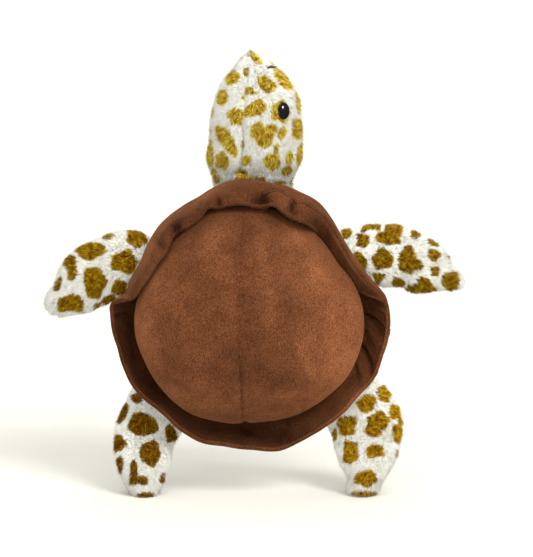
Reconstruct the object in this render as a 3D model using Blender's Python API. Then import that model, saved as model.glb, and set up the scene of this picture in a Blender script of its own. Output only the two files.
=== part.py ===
# Plush sea turtle that stands on its two rear flippers, with its back towards -Y.
# Metres, +Z up. The origin is on the floor, under the middle of the whole toy.
# The carapace dome swells towards -Y, the belly towards +Y, and the turtle's right side is +X.
# Every stuffed part is one closed form: its covers are sewn walls on that form, and its
# filling is the same form drawn in under the covers.

import math

import bmesh
import bpy
from mathutils import Matrix, Vector

# Cloth and clearances
wall = 0.0016            # thickness of plush and velour
clearance = 0.0003       # between pieces that touch
fillingGap = 0.0005      # between a cover and its filling
soleCut = 0.0005         # how deep the soles are cut flat
meshSteps = 12           # facets round a limb
bodySteps = 24           # facets round the shell
rimSteps = bodySteps // 2  # facets along half of the rim, corner to corner with the shell's
headSteps = 16           # facets round the head, a multiple of four as the others are
eyeSteps = 14            # facets round an eye and its washer
shankSteps = 8
pocketSteps = 12
stitchSteps = 4
sharpAngle = 50.0        # edges sharper than this many degrees are not shaded smooth
slopeStepShare = 0.001   # step that finds a surface's direction

# Shell: dome, belly and rim, seen from the back, about the shell's centre
shellRadius = 0.088      # half width of the dome at its widest
rimWidth = 0.019         # how far the rim stands out past the dome
rimRadius = shellRadius + rimWidth
domeDepth = 0.076        # from the main seam to the dome's crown
bellyDepth = 0.042       # from the main seam to the belly's crown
rimReach = 0.031         # how far the open rim curls towards the back
cuffReach = 0.046        # how far the folded rim comes over the dome
crownShift = 0.010       # the dome's centre seam runs this far left of its middle
shellShift = 0.003       # the shell hangs this far left of the feet's middle

# Outline shares of shellRadius and of rimRadius every 15 degrees, from +X over the top
domeOutlineShares = (1.0, 0.955, 0.90, 0.92, 0.96, 0.98, 1.0, 1.0, 0.99, 0.96, 0.94, 0.985,
                     1.02, 1.02, 1.01, 1.01, 1.015, 0.995, 0.98, 0.99, 1.01, 1.02, 1.03, 1.02)
rimOutlineShares = (1.02, 0.95, 0.89, 0.91, 0.95, 0.985, 1.0, 0.98, 0.955, 0.945, 0.925, 0.95,
                    1.02, 1.015, 1.005, 0.985, 0.995, 0.99, 0.995, 1.02, 1.005, 1.005, 1.015, 1.025)
# How much of the rim is folded over the dome, every 15 degrees
cuffShares = (0.15, 0.55, 0.85, 1.0, 1.0, 1.0, 1.0, 1.0, 1.0, 1.0, 1.0, 0.95,
              0.1, 0.0, 0.0, 0.0, 0.0, 0.0, 0.0, 0.0, 0.0, 0.0, 0.0, 0.05)
# Rings of the dome and of the belly: share of the outline, share of the depth
seamShare = 0.90
domeRingShares = ((0.25, 0.985), (0.47, 0.93), (0.66, 0.84), (0.81, 0.71), (0.92, 0.56),
                  (0.985, 0.40), (1.0, 0.26), (0.965, 0.13))
bellyRingShares = ((0.905, 0.20), (0.83, 0.50), (0.62, 0.80), (0.33, 0.955))
# The rim across its width, open and folded: share of the width, share of the reach
openRimShares = ((0.0, 0.0), (0.32, 0.0), (0.62, 0.12), (0.84, 0.36), (0.96, 0.68), (1.0, 1.0))
cuffRimShares = ((0.0, 0.0), (0.42, 0.0), (0.82, 0.10), (1.0, 0.36), (0.84, 0.72), (0.50, 1.0))

# Rounded ends of the limbs: shares of the way to the end where sections lie
rootCapShares = (0.97, 0.62)
neckCapShares = (0.97, 0.75, 0.40)
tipCapShares = (0.5, 0.85)
seatSampleShares = (1.0, 0.97, 0.9, 0.8, 0.62, 0.4, 0.2)
seatTilts = (-10.0, 0.0, 15.0, 30.0, 45.0)  # a limb's root stays clear at these degrees of its seam
frontTipShare = 0.75     # how blunt the tips are, 1 being round
rearTipShare = 0.35

# Front flippers: shares of the length from the hinge, upper edge and lower edge
frontLength = 0.085
frontRoot = 0.011        # half thickness where the flipper is sewn on
frontHalfWidth = 0.015   # half width of the seam that sews it on
frontDepth = 0.014       # from the main seam to the flipper's middle
leftFrontAngle = 153.0   # where it leaves the shell, in degrees from +X over the top
rightFrontAngle = 32.0
leftFrontShares = (((-0.02, 0.24), (-0.16, -0.26)),
                   ((-0.20, 0.26), (-0.31, -0.32)), ((-0.39, 0.22), (-0.46, -0.41)),
                   ((-0.57, 0.15), (-0.59, -0.50)), ((-0.74, 0.03), (-0.74, -0.53)),
                   ((-0.86, -0.18), (-0.87, -0.52)), (-0.95, -0.43))
rightFrontShares = (((0.07, 0.23), (0.21, -0.24)),
                    ((0.24, 0.27), (0.37, -0.31)), ((0.42, 0.27), (0.52, -0.31)),
                    ((0.61, 0.25), (0.68, -0.36)), ((0.80, 0.17), (0.85, -0.35)),
                    ((0.98, 0.01), (1.01, -0.34)), (1.12, -0.23))
# Where its back and its underside lie, from the hinge: shares of the root's half thickness
frontDepthShares = ((-1.0, 1.0), (-1.08, 1.12), (-1.18, 1.25), (-1.28, 1.30),
                    (-1.30, 1.25), (-1.20, 1.05), (-0.95, 0.75), 0.0)

# Rear flippers, which are the legs: shares of the length from the hinge, outer edge and inner edge
rearLength = 0.075
rearRoot = 0.0115
rearHalfWidth = 0.022
rearDepth = 0.014
leftRearAngle = 229.0
rightRearAngle = 311.0
leftRearShares = (((-0.43, 0.18), (0.17, -0.26)),
                  ((-0.54, -0.02), (0.12, -0.32)), ((-0.61, -0.24), (0.08, -0.38)),
                  ((-0.64, -0.43), (0.04, -0.48)), ((-0.61, -0.62), (0.0, -0.64)),
                  ((-0.55, -0.80), (-0.07, -0.83)), ((-0.46, -0.96), (-0.14, -0.965)),
                  (-0.30, -1.0))
rightRearShares = (((0.47, 0.26), (-0.13, -0.22)),
                   ((0.64, 0.15), (-0.04, -0.28)), ((0.77, -0.08), (0.05, -0.36)),
                   ((0.77, -0.32), (0.07, -0.46)), ((0.73, -0.54), (0.11, -0.61)),
                   ((0.64, -0.76), (0.16, -0.80)), ((0.53, -0.96), (0.21, -0.965)),
                   (0.37, -1.0))
rearDepthShares = ((-1.0, 1.0), (-1.05, 1.02), (-1.10, 1.08), (-1.40, 1.08), (-2.20, 0.90),
                   (-3.0, 0.60), (-3.30, 0.20), (-3.20, -0.30), -1.80)

# Neck and head
neckRadius = 0.020       # half thickness of the neck where it nods
neckDepth = 0.022        # from the main seam to the neck's middle
neckHalfWidth = 0.033
neckRise = 0.0135        # from the nodding seam up to the head's seam
headHeight = 0.094       # from the head's seam to the tip of the nose
headWidth = 0.075
headThick = 0.066        # from the top of the head to the chin
headTurn = 22.0          # the head looks this far towards the turtle's left, in degrees
# Head sections from the seam up: share of the height, then the left, right, top and chin sides
headShares = ((0.0, -0.45, 0.44, -0.36, 0.33), (0.125, -0.49, 0.49, -0.48, 0.38),
              (0.25, -0.46, 0.50, -0.55, 0.40), (0.375, -0.445, 0.49, -0.59, 0.385),
              (0.50, -0.425, 0.49, -0.60, 0.35), (0.62, -0.39, 0.45, -0.57, 0.28),
              (0.74, -0.32, 0.37, -0.50, 0.19), (0.85, -0.24, 0.27, -0.40, 0.08),
              (0.935, -0.165, 0.165, -0.31, -0.02), (0.985, -0.09, 0.07, -0.23, -0.09))
noseTipShares = (-0.02, -0.16)

# Eyes and nostrils, on the right side of the head; the left ones mirror them about the face
faceTurn = 37.0          # the face looks this far towards the left, past the seam over the head
eyeWidth = 0.0086
eyeHeight = 0.0130
eyeBulge = 0.0036        # half thickness of the glossy button
eyeSink = 0.0006         # how deep its middle lies under the plush
eyeHeightShare = 0.535   # up the head
eyeTurn = 77.0           # from the middle of the face, in degrees
shankRadius = 0.0016
shankLength = 0.0068
washerRadius = 0.0052
washerThick = 0.0012
washerDepth = 0.0027     # from the plush down to the washer
pocketRadius = 0.0066    # hollow in the filling round shank and washer
pocketDepth = 0.0090
cutterOverrun = 0.010
stitchLength = 0.0074
stitchRadius = 0.0005
stitchHeightShare = 0.85
stitchTurn = 92.0
noseRadiusShare = 0.28   # the head's radius at the stitches, as a share of its width

# Colours as sRGB
velourColour = (0.46, 0.28, 0.18)
furColour = (0.90, 0.90, 0.86)
bellyColour = (0.88, 0.84, 0.72)
fillColour = (0.95, 0.95, 0.95)
eyeColour = (0.01, 0.01, 0.01)
washerColour = (0.85, 0.85, 0.82)
threadColour = (0.02, 0.02, 0.02)


def clearScene():
    for old in list(bpy.data.objects):
        bpy.data.objects.remove(old, do_unlink=True)


def collection(name):
    made = bpy.data.collections.new(name)
    bpy.context.scene.collection.children.link(made)
    return made


def linear(channel):
    return channel / 12.92 if channel <= 0.04045 else ((channel + 0.055) / 1.055) ** 2.4


def material(name, colour, roughness):
    made = bpy.data.materials.new(name)
    made.use_nodes = True
    shader = made.node_tree.nodes["Principled BSDF"]
    shader.inputs["Base Color"].default_value = tuple(linear(c) for c in colour) + (1.0,)
    shader.inputs["Roughness"].default_value = roughness
    shader.inputs["Metallic"].default_value = 0.0
    return made


def pivot(name, place, parent=None):
    """An empty on a joint's axis; place is in the toy's own frame."""
    empty = bpy.data.objects.new(name, None)
    empty.empty_display_size = wall
    parts.objects.link(empty)
    empty["place"] = tuple(place)
    empty.parent = parent
    empty.location = Vector(place) - (Vector(parent["place"]) if parent else Vector())
    return empty


def faceOutwards(bm):
    bmesh.ops.recalc_face_normals(bm, faces=bm.faces)
    bm.normal_update()
    if bm.calc_volume(signed=True) < 0:
        bmesh.ops.reverse_faces(bm, faces=bm.faces)
        bm.normal_update()


def finish(bm, name, joint, look):
    """The mesh becomes a named object that hangs on its joint's empty."""
    faceOutwards(bm)
    bmesh.ops.translate(bm, vec=-Vector(joint["place"]), verts=bm.verts)
    mesh = bpy.data.meshes.new(name)
    bm.to_mesh(mesh)
    bm.free()
    mesh.shade_smooth()
    mesh.set_sharp_from_angle(angle=math.radians(sharpAngle))
    mesh.materials.append(look)
    made = bpy.data.objects.new(name, mesh)
    made.parent = joint
    parts.objects.link(made)
    return made


def aroundShare(shares, degrees):
    """A smooth closed curve through shares that are evenly spaced round the circle."""
    step = 360.0 / len(shares)
    start = math.floor(degrees / step)
    t = degrees / step - start
    a, b, c, d = (shares[(start + k) % len(shares)] for k in (-1, 0, 1, 2))
    return b + 0.5 * t * (c - a + t * (2 * a - 5 * b + 4 * c - d + t * (3 * (b - c) + d - a)))


def smoothShares(rows, t):
    """A smooth open curve through evenly spaced rows of shares, t from 0 to 1."""
    last = len(rows) - 1
    start = min(int(t * last), last - 1)
    u = t * last - start
    a, b, c, d = (rows[min(max(start + k, 0), last)] for k in (-1, 0, 1, 2))
    return [q + 0.5 * u * (r - p + u * (2 * p - 5 * q + 4 * r - s + u * (3 * (q - r) + s - p)))
            for p, q, r, s in zip(a, b, c, d)]


# Closed forms: a sphere whose rings are carried to the sections of a part.
# turn brings the sphere's seam, at 0 and 180 degrees, to where the part's seam is.
def softForm(steps, rings, place, turn, openStart=False, openEnd=False):
    bm = bmesh.new()
    bmesh.ops.create_uvsphere(bm, u_segments=steps, v_segments=rings, radius=1.0)
    side = bm.verts.layers.float.new("side")
    ring = bm.verts.layers.int.new("ring")
    out = bm.verts.layers.float_vector.new("out")
    for vert in bm.verts:
        around = math.atan2(vert.co.y, vert.co.x)
        number = round(math.acos(max(-1.0, min(1.0, vert.co.z))) / math.pi * rings)
        pole = number in (0, rings)
        vert[side] = 0.0 if pole else round(math.sin(around), 6)
        vert[ring] = number
        vert.co = place(number, around + math.radians(turn))
    faceOutwards(bm)
    walls = bm.copy()
    ends = [0] * openStart + [rings] * openEnd
    ringOf = walls.verts.layers.int["ring"]
    fans = [f for f in walls.faces if any(v[ringOf] in ends for v in f.verts)]
    bmesh.ops.delete(walls, geom=fans, context="FACES_ONLY")
    walls.normal_update()
    level = [1] * openStart + [rings - 1] * openEnd
    for vert, twin in zip(bm.verts, walls.verts):
        if vert[ring] in level:
            vert[out] = Vector((twin.normal.x, twin.normal.y, 0.0)).normalized()
        elif vert[ring] not in ends:
            vert[out] = twin.normal
    walls.free()
    return bm


def thicken(bm, far, near):
    """Turns an open surface into a wall between two distances along its stored normals."""
    out = bm.verts.layers.float_vector["out"]
    outer = bm.verts[:]
    copied = bmesh.ops.duplicate(bm, geom=bm.verts[:] + bm.edges[:] + bm.faces[:])
    inner = [g for g in copied["geom"] if isinstance(g, bmesh.types.BMVert)]
    for vert in outer:
        vert.co += vert[out] * far
    for vert in inner:
        vert.co += vert[out] * near
    faces = [g for g in copied["geom"] if isinstance(g, bmesh.types.BMFace)]
    bmesh.ops.reverse_faces(bm, faces=faces)
    bmesh.ops.bridge_loops(bm, edges=[e for e in bm.edges if e.is_boundary])
    return inner


def restOnFloor(verts, height):
    for vert in verts:
        vert.co.z = max(vert.co.z, height)


def coverPiece(form, name, joint, look, sideKept=0, rings=None, away=None, floor=False):
    """One sewn panel of a form: a side of its seam, or the rings of it that are named."""
    bm = form.copy()
    side = bm.verts.layers.float["side"]
    ring = bm.verts.layers.int["ring"]

    def kept(face):
        onSide = sideKept * sum(v[side] for v in face.verts) >= 0
        return onSide and (rings is None or all(rings[0] <= v[ring] <= rings[1] for v in face.verts))

    bmesh.ops.delete(bm, geom=[f for f in bm.faces if not kept(f)], context="FACES")
    outer = bm.verts[:]
    inner = thicken(bm, 0.0, -wall)
    if floor:
        restOnFloor(outer, 0.0)
        restOnFloor(inner, wall)
    if away:
        for vert in bm.verts:
            if vert[side] == 0.0:
                vert.co += Vector(away) * clearance / 2
    return finish(bm, name, joint, look)


def fillingPiece(form, name, joint, look, floor=False):
    bm = form.copy()
    out = bm.verts.layers.float_vector["out"]
    for vert in bm.verts:
        vert.co -= vert[out] * (wall + fillingGap)
    if floor:
        restOnFloor(bm.verts, wall + fillingGap)
    return finish(bm, name, joint, look)


# Shell
def shellPoint(degrees, radius, depth):
    angle = math.radians(degrees)
    return Vector((radius * math.cos(angle) - shellShift, depth, radius * math.sin(angle) + shellHeight))


def domeRadius(degrees):
    return shellRadius * aroundShare(domeOutlineShares, degrees)


def shellRings():
    """Rings from the dome's crown to the belly's crown: share of the outline and depth."""
    edge = wall + clearance * 1.5
    dome = [(share, -edge - depth * domeDepth) for share, depth in domeRingShares]
    belly = [(share, edge + depth * bellyDepth) for share, depth in bellyRingShares]
    return ([(0.0, -edge - domeDepth)] + dome + [(seamShare, -edge), (seamShare, edge)]
            + belly + [(0.0, edge + bellyDepth)])


def shellPlace(number, angle):
    share, depth = shellRings()[number]
    degrees = math.degrees(angle)
    place = shellPoint(degrees, share * domeRadius(degrees), depth)
    if depth < 0:
        place.x -= crownShift * max(0.0, 1.0 - (share / seamShare) ** 2)
    return place


def rimPlace(degrees, across):
    inner = seamShare * domeRadius(degrees) - wall
    width = rimRadius * aroundShare(rimOutlineShares, degrees) - inner
    folded = min(1.0, max(0.0, aroundShare(cuffShares, degrees)))
    openOut, openDepth = smoothShares(openRimShares, across)
    cuffOut, cuffDepth = smoothShares(cuffRimShares, across)
    radius = inner + width * (openOut * (1 - folded) + cuffOut * folded)
    depth = rimReach * openDepth * (1 - folded) + cuffReach * cuffDepth * folded
    return shellPoint(degrees, radius, -depth)


def rimPiece(name, joint, look, start, end, aside, far, near):
    """Half of one ply of the rim, from the seam at the top or bottom to the other."""
    rows = len(openRimShares) - 1
    bm = bmesh.new()
    bmesh.ops.create_grid(bm, x_segments=rimSteps, y_segments=rows, size=1.0)
    out = bm.verts.layers.float_vector.new("out")
    step = slopeStepShare
    for vert in bm.verts:
        u = (vert.co.x + 1) / 2
        v = (vert.co.y + 1) / 2
        degrees = start + (end - start) * u
        low, high = max(v - step, 0.0), min(v + step, 1.0)
        across = rimPlace(degrees, high) - rimPlace(degrees, low)
        along = rimPlace(degrees + step, v) - rimPlace(degrees - step, v)
        vert[out] = across.cross(along).normalized()
        vert.co = rimPlace(degrees, v)
        if min(u, 1 - u) < step:
            vert.co.x += aside * clearance / 2
    thicken(bm, far, near)
    return finish(bm, name, joint, look)


def buildShell(root):
    rings = len(shellRings()) - 1
    form = softForm(bodySteps, rings, shellPlace, 90.0)
    domeEdge = len(domeRingShares) + 1
    coverPiece(form, "carapace_cover_left", root, velour, 1, (0, domeEdge), (-1, 0, 0))
    coverPiece(form, "carapace_cover_right", root, velour, -1, (0, domeEdge), (1, 0, 0))
    coverPiece(form, "belly_cover", root, bellyCloth, 0, (domeEdge + 1, rings))
    fillingPiece(form, "body_stuffing", root, filling)
    form.free()
    near = clearance / 2
    far = near + wall
    for side, start, end, aside in (("left", 90.0, 270.0, -1), ("right", -90.0, 90.0, 1)):
        rimPiece("rim_face_" + side, root, velour, start, end, aside, far, near)
        rimPiece("rim_back_" + side, root, velour, start, end, aside, -near, -far)


# Limbs
def facetRadius(degrees):
    """The shell's outline as its facets give it, between two corners."""
    step = 360.0 / bodySteps
    corner = math.floor((degrees - 90.0) / step) * step + 90.0
    first, second = domeRadius(corner), domeRadius(corner + step)
    before, after = math.radians(degrees - corner), math.radians(corner + step - degrees)
    return (first * second * math.sin(before + after)
            / (first * math.sin(before) + second * math.sin(after)))


def bellyShare(depth):
    """Share of the outline that the belly cover reaches at a depth behind the main seam."""
    rings = [r for r in shellRings() if r[1] > 0]
    for (shareA, depthA), (shareB, depthB) in zip(rings, rings[1:]):
        if depth <= depthB:
            return shareA + (shareB - shareA) * max(0.0, (depth - depthA) / (depthB - depthA))
    return 0.0


def capShape(part, halfWidth, root):
    """Half width and half thickness of a rounded root, at a share of the way to its end."""
    thin = math.sqrt(1 - part ** 2)
    return halfWidth * thin ** 0.5, root * thin


def rootSamples(root, halfWidth):
    """Points of a rounded root from its hinge, at rest and tilted: aside, inward and behind."""
    samples = []
    for part in seatSampleShares:
        wide, thick = capShape(part, halfWidth, root)
        for turn in range(0, 360, 15):
            aside = wide * math.cos(math.radians(turn))
            spot = Vector((root * part, thick * math.sin(math.radians(turn))))
            for tilt in seatTilts:
                lean = Matrix.Rotation(-math.radians(tilt), 2)
                samples.append((aside, *(lean @ spot)))
    return samples


def seatRadius(degrees, root, halfWidth, depth):
    """From the shell's centre to a hinge whose rounded root just clears the belly cover."""
    seat = shellRadius + root
    for again in range(5):
        push = -shellRadius
        for aside, inward, behind in rootSamples(root, halfWidth):
            reach = seat - inward
            outline = facetRadius(degrees + math.degrees(math.atan2(aside, reach)))
            need = bellyShare(depth + behind) * outline + clearance
            push = max(push, math.sqrt(max(need ** 2 - aside ** 2, 0.0)) - reach)
        seat += push
    return seat


def hingePoint(degrees, radius, halfWidth, depth):
    return shellPoint(degrees, seatRadius(degrees, radius, halfWidth, depth), depth)


def limbSections(hinge, degrees, length, root, halfWidth, edgeShares, depthShares, tipShare):
    """Sections from the root to the tip: the two edges, then the back's and underside's depth."""
    angle = math.radians(degrees)
    inward = Vector((-math.cos(angle), 0.0, -math.sin(angle)))
    upward = Vector((-inward.z, 0.0, inward.x)) * math.copysign(halfWidth, inward.x)
    edges = [[hinge + upward, hinge - upward]]
    edges += [[hinge + Vector((x, 0.0, z)) * length for x, z in pair] for pair in edgeShares[:-1]]
    depths = [[hinge.y + root * share for share in pair] for pair in depthShares[:-1]]
    sections = []
    for part in rootCapShares:
        wide, thick = capShape(part, halfWidth, root)
        middle = hinge + inward * root * part
        half = upward.normalized() * wide
        sections.append((middle + half, middle - half, hinge.y - thick, hinge.y + thick))
    for (upper, lower), (front, back) in zip(edges, depths):
        sections.append((upper, lower, front, back))
    tip = hinge + Vector((edgeShares[-1][0], 0.0, edgeShares[-1][1])) * length
    tip.y = hinge.y + root * depthShares[-1]
    upper, lower, front, back = sections[-1]
    last = (upper + lower) / 2
    for part in tipCapShares:
        thin = math.sqrt(1 - part ** 2) ** tipShare
        middle = last + (tip - last) * part
        middle.y = hinge.y
        half = (upper - lower) / 2 * thin
        depth = (front + back) / 2 * (1 - part) + tip.y * part
        deep = (back - front) / 2 * thin
        sections.append((middle + half, middle - half, depth - deep, depth + deep))
    return hinge + inward * root, sections, tip


def limbPlace(start, sections, tip):
    def place(number, angle):
        if number == 0:
            return start.copy()
        if number > len(sections):
            return tip.copy()
        upper, lower, front, back = sections[number - 1]
        spot = (upper + lower) / 2 + (upper - lower) / 2 * math.cos(angle)
        spot.y = (front + back) / 2 - (back - front) / 2 * math.sin(angle)
        return spot
    return place


def buildLimb(name, joint, sizes, floor=False):
    start, sections, tip = limbSections(Vector(joint["place"]), *sizes)
    form = softForm(meshSteps, len(sections) + 1, limbPlace(start, sections, tip), 0.0)
    coverPiece(form, name + "_top", joint, fur, 1, None, (0, -1, 0), floor)
    coverPiece(form, name + "_underside", joint, fur, -1, None, (0, 1, 0), floor)
    fillingPiece(form, name + "_stuffing", joint, filling, floor)
    form.free()


# Neck and head
def neckSections():
    sections = []
    for part in neckCapShares:
        wide, thick = capShape(part, neckHalfWidth, neckRadius)
        sections.append((-neckRadius * part, wide, thick, neckDepth))
    sections.append((0.0, neckHalfWidth, neckRadius, neckDepth))
    return sections


def neckPlace(number, angle):
    rows = neckSections()
    top, left, right, front, back = (neckRise - clearance,) + tuple(headSide(0)[1:])
    if number == 0:
        height, halfWidth, halfDepth, depth = -neckRadius, 0.0, 0.0, neckDepth
        middle = 0.0
    elif number <= len(rows):
        height, halfWidth, halfDepth, depth = rows[number - 1]
        middle = 0.0
    else:
        height, halfWidth, halfDepth = top, (right - left) / 2, (back - front) / 2
        middle, depth = (left + right) / 2, (front + back) / 2
        if number == len(rows) + 2:
            halfWidth = halfDepth = 0.0
    x = middle + halfWidth * math.cos(angle)
    return Vector((x, depth + halfDepth * math.sin(angle), neckHeight + height))


def headSide(number):
    """A head section: height over its seam, left and right in x, top and chin side in y."""
    up, left, right, front, back = headShares[number]
    return (up * headHeight, left * headWidth, right * headWidth,
            neckDepth + front * headThick, neckDepth + back * headThick)


def headSpot(section, angle):
    up, left, right, front, back = section
    x = (left + right) / 2 + (right - left) / 2 * math.cos(angle)
    y = (front + back) / 2 + (back - front) / 2 * math.sin(angle)
    return Vector((x, y, neckHeight + neckRise + up))


def headPlace(number, angle):
    if number == 0:
        up, left, right, front, back = headSide(0)
        return Vector(((left + right) / 2, (front + back) / 2, neckHeight + neckRise))
    if number > len(headShares):
        return Vector((noseTipShares[0] * headWidth, neckDepth + noseTipShares[1] * headThick,
                       neckHeight + neckRise + headHeight))
    return headSpot(headSide(number - 1), angle)


def faceSpot(heightShare, degrees):
    """A spot on the head and the way out from it; degrees are from the back's side, to the right."""
    rows = [headSide(n) for n in range(len(headShares))]
    height = heightShare * headHeight
    index = max(n for n in range(len(rows) - 1) if rows[n][0] <= height)
    part = (height - rows[index][0]) / (rows[index + 1][0] - rows[index][0])
    section = [a + (b - a) * part for a, b in zip(rows[index], rows[index + 1])]
    angle = math.radians(degrees - 90.0)
    step = math.radians(2.0)
    spot = headSpot(section, angle)
    along = headSpot(section, angle + step) - headSpot(section, angle - step)
    rise = headSpot(rows[index + 1], angle) - headSpot(rows[index], angle)
    return spot, along.cross(rise).normalized()


def cylinder(name, spot, normal, radius, outside, inside, sides):
    """A round cutter or shank along a normal, from outside the plush to inside it."""
    bm = bmesh.new()
    bmesh.ops.create_cone(bm, cap_ends=True, segments=sides, radius1=radius, radius2=radius,
                          depth=outside + inside)
    bmesh.ops.translate(bm, vec=(0.0, 0.0, (outside - inside) / 2), verts=bm.verts)
    bmesh.ops.transform(bm, matrix=facing(spot, normal), verts=bm.verts)
    mesh = bpy.data.meshes.new(name)
    bm.to_mesh(mesh)
    bm.free()
    return bpy.data.objects.new(name, mesh)


def facing(spot, normal):
    """A frame at the spot: Z along the normal, Y up the head."""
    side = Vector((0.0, 0.0, 1.0)).cross(normal).normalized()
    up = normal.cross(side)
    frame = Matrix((side, up, normal)).transposed().to_4x4()
    frame.translation = spot
    return frame


def cut(target, cutter, operation="DIFFERENCE"):
    if cutter.name not in cutters.objects:
        cutters.objects.link(cutter)
        cutter.parent = target.parent
        cutter.matrix_parent_inverse = Matrix.Translation(-Vector(target.parent["place"]))
        cutter.hide_render = True
        cutter.display_type = "WIRE"
    modifier = target.modifiers.new(cutter.name, "BOOLEAN")
    modifier.operation = operation
    modifier.solver = "EXACT"
    modifier.object = cutter


def eyePiece(side, degrees, joint, headForm):
    spot, normal = faceSpot(eyeHeightShare, degrees)
    bm = bmesh.new()
    bmesh.ops.create_uvsphere(bm, u_segments=eyeSteps, v_segments=eyeSteps // 2, radius=1.0)
    bmesh.ops.scale(bm, vec=(eyeWidth / 2, eyeHeight / 2, eyeBulge), verts=bm.verts)
    bmesh.ops.transform(bm, matrix=facing(spot - normal * eyeSink, normal), verts=bm.verts)
    eye = finish(bm, "eye_" + side, joint, eyeGloss)
    cut(eye, headForm)
    shank = cylinder("eye_shank_" + side, spot, normal, shankRadius, eyeBulge / 2, shankLength, shankSteps)
    cut(eye, shank, "UNION")
    washer = bmesh.new()
    bmesh.ops.create_cone(washer, cap_ends=True, segments=eyeSteps, radius1=washerRadius,
                          radius2=washerRadius, depth=washerThick)
    place = facing(spot - normal * (washerDepth + washerThick / 2), normal)
    bmesh.ops.transform(washer, matrix=place, verts=washer.verts)
    ring = finish(washer, "eye_washer_" + side, joint, washerPlastic)
    hole = cylinder("eye_hole_" + side, spot, normal, shankRadius + clearance,
                    cutterOverrun, cutterOverrun, shankSteps)
    cut(ring, hole)
    return spot, normal, hole


def stitchPiece(side, degrees, joint):
    """A stitched nostril: a short thread that follows the plush."""
    spin = math.degrees(stitchLength / (headWidth * noseRadiusShare))
    spots = []
    for n in range(stitchSteps + 1):
        spot, normal = faceSpot(stitchHeightShare, degrees + spin * (n / stitchSteps - 0.5))
        spots.append(spot + normal * (stitchRadius + clearance * 2))
    curve = bpy.data.curves.new("nostril_stitch_" + side, "CURVE")
    curve.dimensions = "3D"
    curve.bevel_depth = stitchRadius
    curve.bevel_resolution = 1
    curve.use_fill_caps = True
    spline = curve.splines.new("POLY")
    spline.points.add(stitchSteps)
    for point, spot in zip(spline.points, spots):
        point.co = (spot - Vector(joint["place"])).to_4d()
    curve.materials.append(thread)
    made = bpy.data.objects.new("nostril_stitch_" + side, curve)
    made.parent = joint
    parts.objects.link(made)


def buildNeck(joint):
    rings = len(neckSections()) + 2
    form = softForm(headSteps, rings, neckPlace, 0.0, openEnd=True)
    coverPiece(form, "neck_cover", joint, fur, 0, (0, rings - 1))
    fillingPiece(form, "neck_stuffing", joint, filling)
    form.free()


def buildHead(joint):
    rings = len(headShares) + 1
    form = softForm(headSteps, rings, headPlace, -90.0 - headTurn, openStart=True)
    turn = math.radians(headTurn)
    across = (math.cos(turn), -math.sin(turn), 0.0)
    right = coverPiece(form, "head_cover_right", joint, fur, 1, (1, rings), across)
    left = coverPiece(form, "head_cover_left", joint, fur, -1, (1, rings), [-c for c in across])
    stuffing = fillingPiece(form, "head_stuffing", joint, filling)
    out = form.verts.layers.float_vector["out"]
    for vert in form.verts:
        vert.co += vert[out] * clearance
    swollen = bpy.data.meshes.new("head_shape")
    form.to_mesh(swollen)
    form.free()
    headForm = bpy.data.objects.new("head_shape", swollen)
    for side, panel, degrees in (("right", right, eyeTurn - faceTurn), ("left", left, -eyeTurn - faceTurn)):
        spot, normal, hole = eyePiece(side, degrees, joint, headForm)
        cut(panel, hole)
        pocket = cylinder("eye_pocket_" + side, spot, normal, pocketRadius, cutterOverrun, pocketDepth,
                          pocketSteps)
        cut(stuffing, pocket)
    stitchPiece("right", stitchTurn - faceTurn, joint)
    stitchPiece("left", -stitchTurn - faceTurn, joint)


def centreOnFloor(root):
    """Moves the toy so that its box stands centred over the origin."""
    bpy.context.view_layer.update()
    solids = [o for o in parts.objects if o.type != "EMPTY"]
    corners = [o.matrix_world @ Vector(c) for o in solids for c in o.bound_box]
    for axis in (0, 1):
        values = [c[axis] for c in corners]
        root.location[axis] = -(min(values) + max(values)) / 2


clearScene()
parts = collection("plush_turtle")
cutters = collection("plush_turtle_cutters")
velour = material("brown_velour", velourColour, 0.95)
fur = material("spotted_plush", furColour, 0.95)
bellyCloth = material("belly_plush", bellyColour, 0.95)
filling = material("fibre_filling", fillColour, 1.0)
eyeGloss = material("glossy_eye", eyeColour, 0.08)
washerPlastic = material("washer_plastic", washerColour, 0.5)
thread = material("nostril_thread", threadColour, 0.7)

# The soles stand on the floor, and the shell's height follows from the legs
shellHeight = 0.0
hipDrop = -hingePoint(leftRearAngle, rearRoot, rearHalfWidth, rearDepth).z
shellHeight = hipDrop + rearLength * -leftRearShares[-1][1] - soleCut
neckHeight = hingePoint(90.0, neckRadius, neckHalfWidth, neckDepth).z

root = pivot("turtle_body", (0.0, 0.0, 0.0))
buildShell(root)
for name, degrees, shares in (("front_flipper_left", leftFrontAngle, leftFrontShares),
                              ("front_flipper_right", rightFrontAngle, rightFrontShares)):
    joint = pivot(name + "_seam", hingePoint(degrees, frontRoot, frontHalfWidth, frontDepth), root)
    buildLimb(name, joint, (degrees, frontLength, frontRoot, frontHalfWidth, shares, frontDepthShares,
                            frontTipShare))
for name, degrees, shares in (("rear_flipper_left", leftRearAngle, leftRearShares),
                              ("rear_flipper_right", rightRearAngle, rightRearShares)):
    joint = pivot(name + "_seam", hingePoint(degrees, rearRoot, rearHalfWidth, rearDepth), root)
    buildLimb(name, joint, (degrees, rearLength, rearRoot, rearHalfWidth, shares, rearDepthShares,
                            rearTipShare), True)
neck = pivot("neck_seam", (0.0, neckDepth, neckHeight), root)
buildNeck(neck)
head = pivot("head_seam", (0.0, neckDepth, neckHeight + neckRise), neck)
buildHead(head)
centreOnFloor(root)
bpy.context.view_layer.update()
for empty in parts.objects:
    if empty.type == "EMPTY":
        print(empty.name, [round(c, 6) for c in empty.matrix_world.translation])
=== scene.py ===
import math

import bpy
import numpy as np
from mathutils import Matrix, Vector, kdtree, noise
from mathutils.bvhtree import BVHTree


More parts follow.
